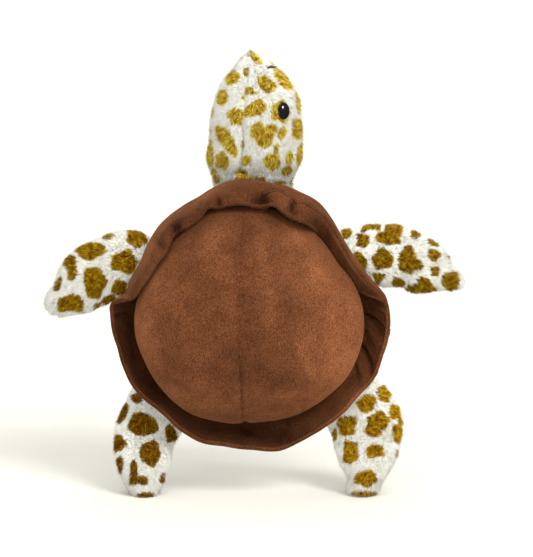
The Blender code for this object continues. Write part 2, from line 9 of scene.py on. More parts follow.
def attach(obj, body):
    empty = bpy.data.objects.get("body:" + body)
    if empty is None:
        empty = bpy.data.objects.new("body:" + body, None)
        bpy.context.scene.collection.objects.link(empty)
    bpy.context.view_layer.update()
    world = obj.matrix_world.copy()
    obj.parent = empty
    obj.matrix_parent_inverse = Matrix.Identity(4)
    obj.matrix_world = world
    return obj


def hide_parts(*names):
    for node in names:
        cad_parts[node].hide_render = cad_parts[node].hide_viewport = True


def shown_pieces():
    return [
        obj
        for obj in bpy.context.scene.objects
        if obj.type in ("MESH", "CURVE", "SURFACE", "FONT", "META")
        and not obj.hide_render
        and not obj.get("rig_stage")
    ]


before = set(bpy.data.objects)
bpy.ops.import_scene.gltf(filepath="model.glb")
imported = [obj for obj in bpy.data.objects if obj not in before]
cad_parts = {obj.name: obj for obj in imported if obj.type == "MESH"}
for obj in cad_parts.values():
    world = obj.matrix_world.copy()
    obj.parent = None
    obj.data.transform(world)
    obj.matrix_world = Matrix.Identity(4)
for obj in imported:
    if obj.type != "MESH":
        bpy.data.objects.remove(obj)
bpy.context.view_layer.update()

noise.seed_set(5)     # without a seed the vector noise starts from the clock
print("frame loaded")

# The photograph's view: a long lens a little above the toy, which turns its back to it
photoView = {
    "width": 533, "height": 557,      # pixels
    "metresPerPixel": 0.00078,
    "middle": (266.5, 278.5),         # pixel at the picture's middle
    "target": (0.00975, 0.0, 0.1725),
    "elevation": 8.0,
    "distance": 4.0,
    "sensor": 36.0,
}
elevation = math.radians(photoView["elevation"])
viewBack = Vector((0.0, -math.cos(elevation), math.sin(elevation)))   # from the toy to the camera
viewRight = Vector((1.0, 0.0, 0.0))
viewUp = Vector((0.0, math.sin(elevation), math.cos(elevation)))
cameraPlace = Vector(photoView["target"]) + viewBack * photoView["distance"]


def photoRay(px, py):
    # Way from the camera through a pixel, to the plane of the camera's target.
    step = photoView["metresPerPixel"]
    across = viewRight * (px - photoView["middle"][0]) * step
    up = viewUp * (photoView["middle"][1] - py) * step
    return across + up - viewBack * photoView["distance"]


def onPhoto(px, py, depth):
    # The point that a pixel shows where y is depth.
    ray = photoRay(px, py)
    return cameraPlace + ray * ((depth - cameraPlace.y) / ray.y)


def pixelsOf(points):
    # Pixels that show an array of points.
    away = np.asarray(points) - np.array(cameraPlace)
    reach = photoView["distance"] / (away @ -np.array(viewBack)) / photoView["metresPerPixel"]
    across = photoView["middle"][0] + (away @ np.array(viewRight)) * reach
    down = photoView["middle"][1] - (away @ np.array(viewUp)) * reach
    return across, down


def seenOn(tree, px, py, depth):
    # Spot and way out of the surface that a pixel shows, or of the one nearest to that pixel at a depth.
    ray = photoRay(px, py).normalized()
    spot, normal = tree.ray_cast(cameraPlace, ray)[:2]
    if spot is None:
        spot, normal = tree.find_nearest(onPhoto(px, py, depth))[:2]
    return spot, -normal if normal.dot(ray) > 0 else normal


def makeCamera():
    bpy.ops.object.camera_add(location=cameraPlace)
    camera = bpy.context.object
    camera.name = "photoCamera"
    camera.rotation_mode = "QUATERNION"
    camera.rotation_quaternion = (-viewBack).to_track_quat("-Z", "Y")
    camera.data.sensor_width = photoView["sensor"]
    tall = photoView["height"] * photoView["metresPerPixel"]
    camera.data.lens = photoView["sensor"] * photoView["distance"] / tall
    camera.data.clip_end = 50.0
    bpy.context.scene.camera = camera


makeCamera()
print("camera ready")


# Colours are written as in a paint box and turned into the linear values that shaders take
def paint(red, green, blue):
    def channel(value):
        value /= 255.0
        return value / 12.92 if value <= 0.04045 else ((value + 0.055) / 1.055) ** 2.4
    return (channel(red), channel(green), channel(blue), 1.0)


def newMaterial(name, roughness):
    material = bpy.data.materials.new(name)
    material.use_nodes = True
    shader = material.node_tree.nodes["Principled BSDF"]
    shader.inputs["Roughness"].default_value = roughness
    return material, material.node_tree, shader


def addNoise(tree, place, scale, detail, rough=0.5):
    node = tree.nodes.new("ShaderNodeTexNoise")
    node.inputs["Scale"].default_value = scale
    node.inputs["Detail"].default_value = detail
    node.inputs["Roughness"].default_value = rough
    tree.links.new(place, node.inputs["Vector"])
    return node.outputs["Fac"]


def addRamp(tree, value, stops):
    ramp = tree.nodes.new("ShaderNodeValToRGB")
    while len(ramp.color_ramp.elements) < len(stops):
        ramp.color_ramp.elements.new(0.5)
    for element, (at, colour) in zip(ramp.color_ramp.elements, stops):
        element.position = at
        element.color = colour
    tree.links.new(value, ramp.inputs["Fac"])
    return ramp.outputs["Color"]


def addMix(tree, kind, share, first, second):
    mix = tree.nodes.new("ShaderNodeMix")
    mix.data_type = "RGBA"
    mix.blend_type = kind
    mix.inputs["Factor"].default_value = share
    tree.links.new(first, mix.inputs["A"])
    tree.links.new(second, mix.inputs["B"])
    return mix.outputs["Result"]


def addBump(tree, shader, heights):
    # Stacks bumps: each height is (socket, strength, distance).
    last = None
    for socket, strength, distance in heights:
        bump = tree.nodes.new("ShaderNodeBump")
        bump.inputs["Strength"].default_value = strength
        bump.inputs["Distance"].default_value = distance
        tree.links.new(socket, bump.inputs["Height"])
        if last:
            tree.links.new(last, bump.inputs["Normal"])
        last = bump.outputs["Normal"]
    tree.links.new(last, shader.inputs["Normal"])


# Short brown nap: painted shade and painted light from a point attribute, broad patches where it lies another way, and
# a fine curl
velourLook = {
    # the nap's colour in painted shade and in painted light
    "napInShade": paint(50, 22, 4), "napInLight": paint(160, 99, 62),
    "patchScale": 48.0, "curlScale": 640.0, "grainScale": 1300.0,
    "sheen": 0.25, "sheenRoughness": 0.3, "sheenTint": paint(255, 172, 112),
    "roughness": 0.95,
}


def brownVelour():
    look = velourLook
    material, tree, shader = newMaterial("brownVelour", look["roughness"])
    place = tree.nodes.new("ShaderNodeTexCoord").outputs["Object"]
    patches = addNoise(tree, place, look["patchScale"], 3.0, 0.6)
    stretch = tree.nodes.new("ShaderNodeMapping")       # the nap runs up and down the toy
    stretch.inputs["Scale"].default_value = (1.0, 1.0, 0.6)
    tree.links.new(place, stretch.inputs["Vector"])
    place = stretch.outputs["Vector"]
    curls = addNoise(tree, place, look["curlScale"], 1.0, 0.5)
    grain = addNoise(tree, place, look["grainScale"], 2.0, 0.7)
    broad = addRamp(tree, patches, ((0.36, paint(224, 221, 219)), (0.62, paint(255, 255, 255))))
    fine = addRamp(tree, curls, ((0.42, paint(255, 255, 255)), (0.49, paint(196, 190, 186)),
                                 (0.57, paint(255, 255, 255))))
    specks = addRamp(tree, grain, ((0.34, paint(180, 174, 170)), (0.62, paint(255, 255, 255))))
    # painted light and shade: the point attribute mixes the colour from the shaded nap to the lit nap
    nap = tree.nodes.new("ShaderNodeAttribute")
    nap.attribute_name = "napLightAndShade"
    colour = addRamp(tree, nap.outputs["Fac"], ((0.0, look["napInShade"]), (1.0, look["napInLight"])))
    for shade in (broad, fine, specks):
        colour = addMix(tree, "MULTIPLY", 1.0, colour, shade)
    tree.links.new(colour, shader.inputs["Base Color"])
    shader.inputs["Specular IOR Level"].default_value = 0.1
    shader.inputs["Sheen Weight"].default_value = look["sheen"]
    shader.inputs["Sheen Roughness"].default_value = look["sheenRoughness"]
    shader.inputs["Sheen Tint"].default_value = look["sheenTint"]
    addBump(tree, shader, ((fine, 0.4, 0.0006), (grain, 0.6, 0.0006)))
    return material


# Plush pile and the skin under it take their colour from each strand's root
plushLook = {
    # the last value darkens the pale pile where it faces the key lamp, a painted shade
    "white": paint(252, 252, 248), "cream": paint(230, 227, 204), "keyLampShade": 0.16,
    "olive": paint(180, 133, 8), "oliveDark": paint(108, 62, 0), "oliveLight": paint(238, 208, 88),
    "belly": paint(246, 240, 222), "bellyDark": paint(232, 222, 198),
    "roughness": 0.85,
}


def plushMaterial(name, grainScale):
    material, tree, shader = newMaterial(name, plushLook["roughness"])
    strand = tree.nodes.new("ShaderNodeAttribute")
    strand.attribute_name = "pileColour"
    place = tree.nodes.new("ShaderNodeTexCoord").outputs["Object"]
    grain = addNoise(tree, place, grainScale, 2.0)
    shade = addRamp(tree, grain, ((0.3, paint(222, 222, 220)), (0.62, paint(255, 255, 255))))
    mixed = addMix(tree, "MULTIPLY", 0.7, strand.outputs["Color"], shade)
    tree.links.new(mixed, shader.inputs["Base Color"])
    shader.inputs["Specular IOR Level"].default_value = 0.1
    return material


def creamPlush():
    material, tree, shader = newMaterial("creamPlush", plushLook["roughness"])
    place = tree.nodes.new("ShaderNodeTexCoord").outputs["Object"]
    broad = addRamp(tree, addNoise(tree, place, 60.0, 3.0, 0.6), ((0.35, plushLook["bellyDark"]), (0.65, plushLook["belly"])))
    curls = addNoise(tree, place, 520.0, 2.0, 0.5)
    fine = addRamp(tree, curls, ((0.40, paint(228, 226, 222)), (0.50, paint(255, 255, 255)), (0.60, paint(228, 226, 222))))
    tree.links.new(addMix(tree, "MULTIPLY", 1.0, broad, fine), shader.inputs["Base Color"])
    shader.inputs["Specular IOR Level"].default_value = 0.1
    addBump(tree, shader, ((fine, 0.6, 0.0008), (addNoise(tree, place, 1300.0, 2.0), 0.6, 0.0005)))
    return material


def fibreFilling():
    material, tree, shader = newMaterial("fibreFilling", 0.95)
    place = tree.nodes.new("ShaderNodeTexCoord").outputs["Object"]
    wisps = addNoise(tree, place, 300.0, 5.0, 0.7)
    tree.links.new(addRamp(tree, wisps, ((0.3, paint(214, 214, 212)), (0.7, paint(248, 248, 246)))),
                   shader.inputs["Base Color"])
    addBump(tree, shader, ((wisps, 0.8, 0.001),))
    return material


def glossyEye():
    material, tree, shader = newMaterial("glossyEye", 0.06)
    place = tree.nodes.new("ShaderNodeTexCoord").outputs["Object"]
    specks = addNoise(tree, place, 900.0, 3.0)
    tree.links.new(addRamp(tree, specks, ((0.3, paint(10, 10, 12)), (0.8, paint(22, 21, 22)))),
                   shader.inputs["Base Color"])
    addBump(tree, shader, ((specks, 0.02, 0.0001),))
    shader.inputs["Coat Weight"].default_value = 0.3
    shader.inputs["Coat Roughness"].default_value = 0.03
    return material


def washerPlastic():
    material, tree, shader = newMaterial("washerPlastic", 0.45)
    place = tree.nodes.new("ShaderNodeTexCoord").outputs["Object"]
    cloudy = addNoise(tree, place, 500.0, 2.0)
    tree.links.new(addRamp(tree, cloudy, ((0.3, paint(206, 206, 200)), (0.7, paint(226, 226, 220)))),
                   shader.inputs["Base Color"])
    addBump(tree, shader, ((cloudy, 0.1, 0.0002),))
    return material


def nostrilThread():
    material, tree, shader = newMaterial("nostrilThread", 0.7)
    place = tree.nodes.new("ShaderNodeTexCoord").outputs["Object"]
    strands = addNoise(tree, place, 2600.0, 2.0)
    tree.links.new(addRamp(tree, strands, ((0.3, paint(8, 8, 10)), (0.7, paint(34, 33, 36)))),
                   shader.inputs["Base Color"])
    addBump(tree, shader, ((strands, 0.5, 0.0002),))
    return material


velour = brownVelour()
plush = plushMaterial("spottedPlush", 900.0)
bellyPlush = creamPlush()
filling = fibreFilling()
eyeBlack = glossyEye()
washerMaterial = washerPlastic()
thread = nostrilThread()
print("materials ready")


# Small modelling helpers
def deselectAll():
    bpy.ops.object.select_all(action="DESELECT")


def takeUp(piece):
    deselectAll()
    piece.select_set(True)
    bpy.context.view_layer.objects.active = piece


def applyAll(piece):
    takeUp(piece)
    for modifier in list(piece.modifiers):
        bpy.ops.object.modifier_apply(modifier=modifier.name)


def pointsOf(piece):
    found = np.empty(len(piece.data.vertices) * 3, np.float32)
    piece.data.vertices.foreach_get("co", found)
    return found.reshape(-1, 3).astype(float)


def normalsOf(piece):
    found = np.empty(len(piece.data.vertices) * 3, np.float32)
    piece.data.vertex_normals.foreach_get("vector", found)
    return found.reshape(-1, 3).astype(float)


def putPoints(piece, points):
    piece.data.vertices.foreach_set("co", np.asarray(points, np.float32).ravel())
    piece.data.update()


def unit(vectors):
    return vectors / np.maximum(np.linalg.norm(vectors, axis=-1, keepdims=True), 1e-12)


def flowing(keys, values, at):
    # A smooth curve through values given at rising keys.
    keys, values, at = np.asarray(keys, float), np.asarray(values, float), np.asarray(at, float)
    slopes = np.gradient(values, keys, axis=0)
    low = np.clip(np.searchsorted(keys, at, "right") - 1, 0, len(keys) - 2)
    wide = keys[low + 1] - keys[low]
    t = (at - keys[low]) / wide
    if values.ndim > 1:
        t, wide = t[..., None], wide[..., None]
    a, b, c, d = values[low], values[low + 1], slopes[low] * wide, slopes[low + 1] * wide
    return a + t * (c + t * (3 * (b - a) - 2 * c - d + t * (2 * (a - b) + c + d)))


def smoothStep(low, high, value):
    t = np.clip((value - low) / (high - low), 0.0, 1.0)
    return t * t * (3 - 2 * t)


def wobble(points, scale, seed):
    # Soft noise from -1 to 1 at each point.
    shift = Vector((seed * 3.1, seed * 1.7, seed * 2.3))
    return np.array([noise.noise(Vector(p) * scale + shift) for p in points])


def clothPanel(name, across, along, shape, spread=None):
    # A grid whose u runs from seam to seam and v along the panel, carried to shape(u, v).
    deselectAll()
    bpy.ops.mesh.primitive_grid_add(x_subdivisions=across, y_subdivisions=along, size=2.0)
    piece = bpy.context.object
    piece.name = name
    piece.data.name = name
    flat = (pointsOf(piece) + 1) / 2
    u, v = flat[:, 0], flat[:, 1]
    if spread:
        u, v = spread(u, v)
    putPoints(piece, shape(u, v))
    layer = piece.data.attributes.new("weft", "FLOAT_VECTOR", "POINT")
    layer.data.foreach_set("vector", np.stack([u, v, 0 * u], 1).astype(np.float32).ravel())
    takeUp(piece)
    bpy.ops.object.mode_set(mode="EDIT")
    bpy.ops.mesh.select_all(action="SELECT")
    bpy.ops.mesh.remove_doubles(threshold=0.00002)
    bpy.ops.mesh.normals_make_consistent(inside=False)
    bpy.ops.object.mode_set(mode="OBJECT")
    bpy.ops.object.shade_smooth()
    return piece


def faceAway(piece, centre):
    # Turns the faces of an open panel away from a point inside the toy.
    out = np.sum(normalsOf(piece) * (pointsOf(piece) - np.array(centre)), 1)
    if np.mean(out) < 0:
        takeUp(piece)
        bpy.ops.object.mode_set(mode="EDIT")
        bpy.ops.mesh.select_all(action="SELECT")
        bpy.ops.mesh.flip_normals()
        bpy.ops.object.mode_set(mode="OBJECT")


def weftOf(piece):
    found = np.empty(len(piece.data.vertices) * 3, np.float32)
    piece.data.attributes["weft"].data.foreach_get("vector", found)
    return found.reshape(-1, 3)[:, :2].astype(float)


def backCloth(piece, thick):
    # Gives the panel its backing, so that it is a closed solid.
    solid = piece.modifiers.new("backing", "SOLIDIFY")
    solid.thickness = thick
    solid.offset = -1.0
    solid.use_even_offset = False
    applyAll(piece)


def dress(piece, material, body, nodes=()):
    piece.data.materials.clear()
    piece.data.materials.append(material)
    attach(piece, body)
    if nodes:
        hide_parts(*nodes)


# Shell. Radii are read round the shell's middle, every 15 degrees from +X over the top.
shell = {
    "middle": (250, 315),             # pixel
    "seamDepth": 0.01483,             # y of the seam between the dome and the belly
    "domeRadii": (0.0880, 0.0842, 0.0800, 0.0815, 0.0845, 0.0862, 0.0880, 0.0882, 0.0875, 0.0845,
                  0.0832, 0.0870, 0.0904, 0.0900, 0.0887, 0.0887, 0.0896, 0.0875, 0.0861, 0.0871,
                  0.0889, 0.0897, 0.0909, 0.0903),
    "domeDepth": 0.0765,
    "bellyDepth": 0.0425,
    # share of the way from the crown to the seam: share of the radius and of the depth
    "domeProfile": ((0.0, 0.0, 1.0), (0.16, 0.25, 0.985), (0.30, 0.47, 0.93), (0.43, 0.66, 0.84),
                    (0.54, 0.81, 0.71), (0.64, 0.92, 0.56), (0.74, 0.985, 0.40), (0.83, 1.0, 0.26),
                    (0.92, 0.965, 0.13), (1.0, 0.90, 0.0)),
    "bellyProfile": ((0.0, 0.0, 1.0), (0.22, 0.33, 0.955), (0.42, 0.62, 0.80), (0.60, 0.83, 0.50),
                     (0.80, 0.905, 0.20), (1.0, 0.90, 0.0)),
    "crownShift": 0.009,
    "cloth": 0.0014,
}
shellMiddle = np.array(onPhoto(*shell["middle"], shell["seamDepth"] - 0.025))
shellMiddle[1] = shell["seamDepth"]


def around(values, degrees):
    # Smooth closed curve through values that stand every 15 degrees.
    keys = np.arange(-2, len(values) + 3) * 15.0
    ring = [values[k % len(values)] for k in range(-2, len(values) + 3)]
    return flowing(keys, ring, np.mod(degrees, 360.0))


def shellSpot(degrees, radius, depth):
    angle = np.radians(degrees)
    return np.stack([shellMiddle[0] + radius * np.cos(angle), shellMiddle[1] - depth,
                     shellMiddle[2] + radius * np.sin(angle)], -1)


def crease(points, normals, path, deep, wide, fade=0.0):
    # Presses a valley along a path of points into the cloth; it fades towards the path's ends.
    path = np.array([tuple(p) for p in path])
    best = np.full(len(points), 1e9)
    share = np.zeros(len(points))
    lengths = np.linalg.norm(np.diff(path, axis=0), axis=1)
    total, gone = lengths.sum(), 0.0
    for start, end, length in zip(path, path[1:], lengths):
        run = (end - start) / length
        t = np.clip((points - start) @ run, 0.0, length)
        away = np.linalg.norm(points - start - t[:, None] * run, axis=1)
        nearer = away < best
        share = np.where(nearer, (gone + t) / total, share)
        best = np.minimum(best, away)
        gone += length
    strength = np.exp(-(best / wide) ** 2)
    if fade:
        strength *= smoothStep(0.0, fade, share) * smoothStep(0.0, fade, 1 - share)
    return points - normals * (deep * strength)[:, None]


def unitDisc(u, v, side):
    # Half of a unit disc: u runs from the seam to the edge, v along the seam.
    high = 2 * v - 1
    wide = np.sqrt(np.maximum(1 - high ** 2, 0.0))
    return side * u * wide, high


def shellForm(across, high, profile, depth, sign):
    share = np.clip(np.hypot(across, high), 0.0, 1.0)
    degrees = np.degrees(np.arctan2(high, across))
    rows = np.array(profile)
    radiusShare, depthShare = flowing(rows[:, 0], rows[:, 1:], share).T
    points = shellSpot(degrees, radiusShare * around(shell["domeRadii"], degrees),
                       sign * depth * depthShare)
    if sign > 0:
        inward = np.maximum(0.0, 1 - (across / 0.83) ** 2)
        points[:, 0] -= shell["crownShift"] * np.maximum(0.0, 1 - share ** 2) * inward
    return points


def seamSpread(u, v):
    # Closer rows beside the seam and the edge.
    u = 0.5 - 0.5 * np.cos(np.pi * u)
    v = 0.5 - 0.5 * np.cos(np.pi * (0.12 + 0.76 * v))
    low = 0.5 - 0.5 * math.cos(math.pi * 0.12)
    return u, (v - low) / (1 - 2 * low)


# The dome's marks in the photograph, in its pixels
domeMarks = {
    "lowerDart": ((294, 352), (300, 368), (310, 388), (318, 402)),
    "upperDart": ((298, 230), (294, 240), (291, 250)),
    "rightNotch": ((300, 407), (303, 411)),
    "leftNotch": ((189, 411), (195, 415)),
    "seamCrease": ((239, 362), (241, 385), (243, 415)),
    "rightFold": ((352, 322), (358, 318)),
}


# How the nap is painted: partly where it really lies another way, partly painted light towards the dome's edges and
# painted shade in its middle; its common share, then pixel, half sizes and how much lighter it looks there
domeNapLightAndShade = (0.335, ((140, 330, 20, 62, 0.42), (162, 268, 22, 30, 0.26), (336, 372, 26, 34, 0.46), (346, 322, 24, 40, 0.32),
                  (356, 330, 9, 36, 0.15), (318, 268, 24, 28, 0.34), (296, 238, 14, 16, 0.26), (186, 396, 34, 20, 0.22),
                  (300, 404, 30, 12, 0.2), (240, 408, 34, 12, 0.16), (212, 246, 14, 22, 0.17), (228, 292, 9, 40, 0.12),
                  (262, 262, 8, 34, 0.12), (272, 300, 8, 26, 0.14), (304, 352, 9, 26, 0.16), (204, 330, 12, 26, 0.12),
                  (240, 220, 40, 12, 0.02), (238, 352, 26, 36, -0.07), (245, 305, 20, 24, -0.04)))


# pixels of the dart, how much lighter the nap beyond it is and how far; a narrow painted shade lies along its other
# side
dartNapAndShade = ((292, 340), (313, 388), 0.17, 11.0)


def dartNapAndShadeAt(across, down):
    (x0, y0), (x1, y1), strength, reach = dartNapAndShade
    long = math.hypot(x1 - x0, y1 - y0)
    along = ((across - x0) * (x1 - x0) + (down - y0) * (y1 - y0)) / long
    aside = ((across - x0) * (y1 - y0) - (down - y0) * (x1 - x0)) / long
    ends = smoothStep(-2.0, 6.0, along) * smoothStep(long + 2.0, long - 10.0, along)
    return strength * ends * np.where(aside > 0, np.exp(-np.abs(aside) / reach), -0.5 * np.exp(-np.abs(aside) / 4.0))


def paintNapLightAndShade(piece, common, patches, local=0.0):
    # painted light and shade, kept as a point attribute that the velour mixes from shaded to lit nap
    across, down = pixelsOf(pointsOf(piece))
    share = common + local + np.zeros(len(across))
    for px, py, wide, high, strength in patches:
        share += strength * np.exp(-((across - px) / wide) ** 2 - ((down - py) / high) ** 2)
    share += 0.07 * wobble(pointsOf(piece), 90.0, 12) + dartNapAndShadeAt(across, down)
    layer = piece.data.attributes.new("napLightAndShade", "FLOAT", "POINT")
    layer.data.foreach_set("value", np.clip(share, 0.0, 1.0).astype(np.float32))


def onDome(path, tree):
    spots = []
    for px, py in path:
        hit = tree.ray_cast(cameraPlace, photoRay(px, py).normalized())[0]
        if hit:
            spots.append(hit)
    return spots


def buildDome():
    panels = []
    for name, side in (("domeLeft", -1), ("domeRight", 1)):
        def shape(u, v, side=side):
            across, high = unitDisc(u, v, side)
            return shellForm(across, high, shell["domeProfile"], shell["domeDepth"], 1)
        piece = clothPanel(name, 84, 150, shape, seamSpread)
        faceAway(piece, shellMiddle)
        points, normals, weft = pointsOf(piece), normalsOf(piece), weftOf(piece)
        across, high = unitDisc(weft[:, 0], weft[:, 1], side)
        toSeam = np.abs(across) * 0.085
        roll = 0.0016 * np.exp(-(toSeam / 0.0016) ** 1.3)
        pucker = 0.00035 * np.sin(points[:, 2] * 900.0 + 2 * wobble(points, 40.0, 5)) * np.exp(-toSeam / 0.006)
        slump = 0.0016 * wobble(points, 16.0, 1) + 0.0007 * wobble(points, 42.0, 2)
        inner = smoothStep(1.0, 0.9, np.hypot(across, high))
        points += normals * ((slump * inner) - roll + pucker)[:, None]
        putPoints(piece, points)
        tree = BVHTree.FromObject(piece, bpy.context.evaluated_depsgraph_get())
        for mark, deep, wide, fade in (("lowerDart", 0.0014, 0.0022, 0.25), ("upperDart", 0.0012, 0.0018, 0.3),
                                       ("rightNotch", 0.0016, 0.0016, 0.0), ("leftNotch", 0.0016, 0.0020, 0.0),
                                       ("seamCrease", 0.0016, 0.0022, 0.2), ("rightFold", 0.0006, 0.0016, 0.0)):
            path = onDome(domeMarks[mark], tree)
            if len(path) > 1:
                points = crease(pointsOf(piece), normalsOf(piece), path, deep, wide, fade)
                putPoints(piece, points)
        paintNapLightAndShade(piece, *domeNapLightAndShade)
        panels.append(piece)
    domeTree = treeOf(panels)
    for piece, node in zip(panels, ("carapace_cover_left", "carapace_cover_right")):
        backCloth(piece, shell["cloth"])
        dress(piece, velour, "shell", (node,))
    print("dome sewn")
    return domeTree


# The rim: its outline and, where it is folded over the dome as a cuff, the cuff's inner edge
rim = {
    "outline": ((244, 178), (258, 179), (274, 182), (290, 185.5), (305, 192), (314, 197), (333, 217.5), (346, 239),
                (358, 260), (373, 279), (383, 291), (389, 304), (391, 328), (390, 338), (384, 358), (375, 381),
                (361, 396), (346, 414), (337, 422), (310, 439), (301, 444), (277, 453), (252, 451), (225, 447),
                (203, 444), (180, 432), (160, 414), (135, 392), (129, 383), (121, 366), (115, 346), (110, 329),
                (109, 317), (110.5, 304), (118, 299), (128, 280), (137, 265), (143, 250), (152, 232), (162, 220),
                (178, 207), (196, 196), (215, 185), (229, 180)),
    "freeEdge": ((130, 304), (136, 295), (154, 269), (170, 246), (174, 236), (189, 227), (200, 218), (207, 209),
                 (220, 208), (230, 206), (244, 205), (262, 207), (273, 206), (284, 214), (295, 220), (308, 226),
                 (325, 246), (343, 272), (357, 295), (364, 318), (362, 360), (330, 410), (250, 440),
                 (170, 408), (134, 360)),
    "tuckedEdge": ((134, 300), (154, 269), (189, 227), (244, 212), (270, 211), (290, 216), (306, 225), (322, 243),
                   (339, 268), (353, 292), (360, 318), (358, 360), (330, 405), (250, 428), (170, 404), (136, 355)),
    "foldDepth": 0.018, "edgeDepth": 0.030, "freeDepth": 0.044, "tuckedDepth": 0.012,
    # degrees over which the cuff opens out: slowly at the right, at once beside the left flipper
    "opens": (0.0, 15.0, 169.5, 175.5),
    # degrees over which its inner edge rolls down beside the dome
    "rolls": (48.0, 62.0),
    "across": (0.0, 0.18, 0.36, 0.50, 0.60, 0.72, 0.86, 1.0),
    "openWidth": (0.0, 0.24, 0.48, 0.66, 0.78, 0.88, 0.96, 1.0),
    "openDepth": (0.0, 0.0010, 0.0040, 0.0085, 0.0130, 0.0190, 0.0260, 0.0310),
    "cuffWidth": (0.0, 0.45, 0.85, 1.0, 0.93, 0.70, 0.33, 0.0),
    "cuffDepth": (0.0, 0.0015, 0.0065, 0.0150, 0.0250, 0.0360, 0.0435, 0.0460),
    "rollWidth": (0.0, 0.45, 0.85, 1.0, 0.96, 0.80, 0.46, 0.06),
    "rollDepth": (0.0, 0.0015, 0.0060, 0.0140, 0.0225, 0.0268, 0.0215, 0.0125),
    # degrees, depth of the fold, half width in degrees, from where to where it lies across, and its slant
    "folds": ((92.7, 0.0010, 0.7, 0.45, 1.2), (269.0, 0.0010, 0.8, 0.3, 1.2),
              (83.5, 0.0170, 5.6, 0.68, 1.2, 7), (76.0, -0.0006, 2.6, 0.66, 1.2),
              (68.2, 0.0075, 2.4, 0.66, 1.3), (105.5, 0.0050, 1.6, 0.78, 1.3), (109.5, -0.0026, 2.4, 0.7, 1.2),
              (101.0, -0.0014, 2.2, 0.7, 1.2), (130.7, 0.0075, 2.2, 0.80, 1.3), (136.0, -0.0024, 2.6, 0.7, 1.2),
              (125.5, -0.0026, 2.4, 0.7, 1.2), (141.0, 0.0042, 2.2, 0.62, 1.0), (147.0, -0.0016, 2.6, 0.65, 1.1),
              (157.0, 0.0018, 3.0, 0.7, 1.1), (0.5, 0.0040, 2.0, 0.20, 0.9, -8), (-5.0, 0.0080, 1.8, 0.15, 0.9, -12),
              (-10.5, -0.0040, 3.0, 0.3, 0.85, -10), (-22.0, 0.0080, 1.8, 0.10, 0.85, -16),
              (-28.0, -0.0026, 3.0, 0.3, 0.9, -12), (-77.0, 0.0042, 2.2, 0.3, 1.2), (-70.5, -0.0024, 2.6, 0.3, 1.1),
              (181.0, 0.0046, 2.4, 0.2, 0.9), (188.0, -0.0020, 3.2, 0.3, 0.9), (226.0, 0.0020, 3.0, 0.2, 0.9),
              (246.0, -0.0018, 3.6, 0.3, 0.9), (205.0, 0.0018, 3.0, 0.3, 0.9)),
    "stitchLine": (12.0, 88.0, 0.69, 0.0022),
    "loft": 0.0012,
    "cloth": 0.0012,
    # painted light and shade on the rim's nap: lighter where its faces catch the light, darker on the lower rim in the
    # dome's shadow and in the cuff's dents, pockets and creases, with a common share lower than the dome's
    "nap": (0.225, ((300, 200, 26, 14, 0.12), (150, 250, 16, 34, 0.26), (350, 262, 22, 30, 0.16), (235, 190, 44, 12, 0.08),
                   (352, 394, 14, 24, 0.22), (384, 330, 8, 30, 0.05), (250, 438, 90, 14, -0.20), (122, 345, 14, 50, -0.16),
                   (145, 395, 26, 26, -0.20), (263, 200, 8, 6, -0.32), (292, 206, 3, 8, -0.34), (219, 202, 3, 6, -0.28),
                   (177, 228, 5, 9, -0.3), (161, 242, 3, 4, -0.16), (314, 226, 6, 9, -0.16), (328, 238, 5, 9, -0.12), (344, 262, 5, 12, -0.1))),
}


def ringThrough(pixels, depth, inside=0.0):
    # Closed curve of degrees and radii round the shell, drawn in from pixels that lie at a depth.
    found = []
    for px, py in pixels:
        spot = onPhoto(px, py, shellMiddle[1] - depth)
        across, up = spot.x - shellMiddle[0], spot.z - shellMiddle[2]
        found.append((math.degrees(math.atan2(up, across)) % 360.0, math.hypot(across, up) - inside))
    found.sort()
    found = [(d - 360.0, r) for d, r in found[-3:]] + found + [(d + 360.0, r) for d, r in found[:3]]
    return np.array(found)


rimRings = {
    "fold": ringThrough(rim["outline"], rim["foldDepth"], 0.0030),
    "edge": ringThrough(rim["outline"], rim["edgeDepth"], 0.0018),
    "free": ringThrough(rim["freeEdge"], rim["freeDepth"]),
    "tucked": ringThrough(rim["tuckedEdge"], rim["tuckedDepth"]),
}


def ringRadius(name, degrees):
    ring = rimRings[name]
    return flowing(ring[:, 0], ring[:, 1], np.mod(degrees, 360.0))


def foldedShare(degrees):
    # 1 where the rim is folded over as a cuff, 0 where it stands open.
    turn = np.mod(degrees + 90.0, 360.0) - 90.0
    low, full, last, gone = rim["opens"]
    return smoothStep(low, full, turn) * (1 - smoothStep(last, gone, turn))


def rimMiddle(degrees, across):
    folded = foldedShare(degrees)
    rolled = 1 - smoothStep(*rim["rolls"], np.mod(degrees + 90.0, 360.0) - 90.0)
    table = np.stack([rim[key] for key in ("openWidth", "openDepth", "cuffWidth", "cuffDepth",
                                           "rollWidth", "rollDepth")], 1)
    openWidth, openDepth, cuffWidth, cuffDepth, rollWidth, rollDepth = flowing(rim["across"], table, across).T
    cuffWidth = cuffWidth + (rollWidth - cuffWidth) * rolled
    cuffDepth = cuffDepth + (rollDepth - cuffDepth) * rolled
    inner = 0.90 * around(shell["domeRadii"], degrees) - 0.0004
    openRadius = inner + (ringRadius("edge", degrees) - inner) * openWidth
    outside = smoothStep(0.48, 0.62, across)
    end = ringRadius("free", degrees) * (1 - rolled) + ringRadius("tucked", degrees) * rolled
    base = inner * (1 - outside) + end * outside
    cuffRadius = base + (ringRadius("fold", degrees) - base) * cuffWidth
    radius = openRadius * (1 - folded) + cuffRadius * folded
    radius = inner + (radius - inner) * (1 + folded * (1 - folded) * (1.25 - folded))
    turn = np.radians(degrees)
    # the open edge is not level
    droop = 0.84 + 0.10 * np.sin(3 * turn + 0.6) + 0.07 * np.sin(7 * turn + 1.0)
    depth = openDepth * (1 + (droop - 1) * across ** 2) * (1 - folded) + cuffDepth * folded
    return shellSpot(degrees, radius, depth)


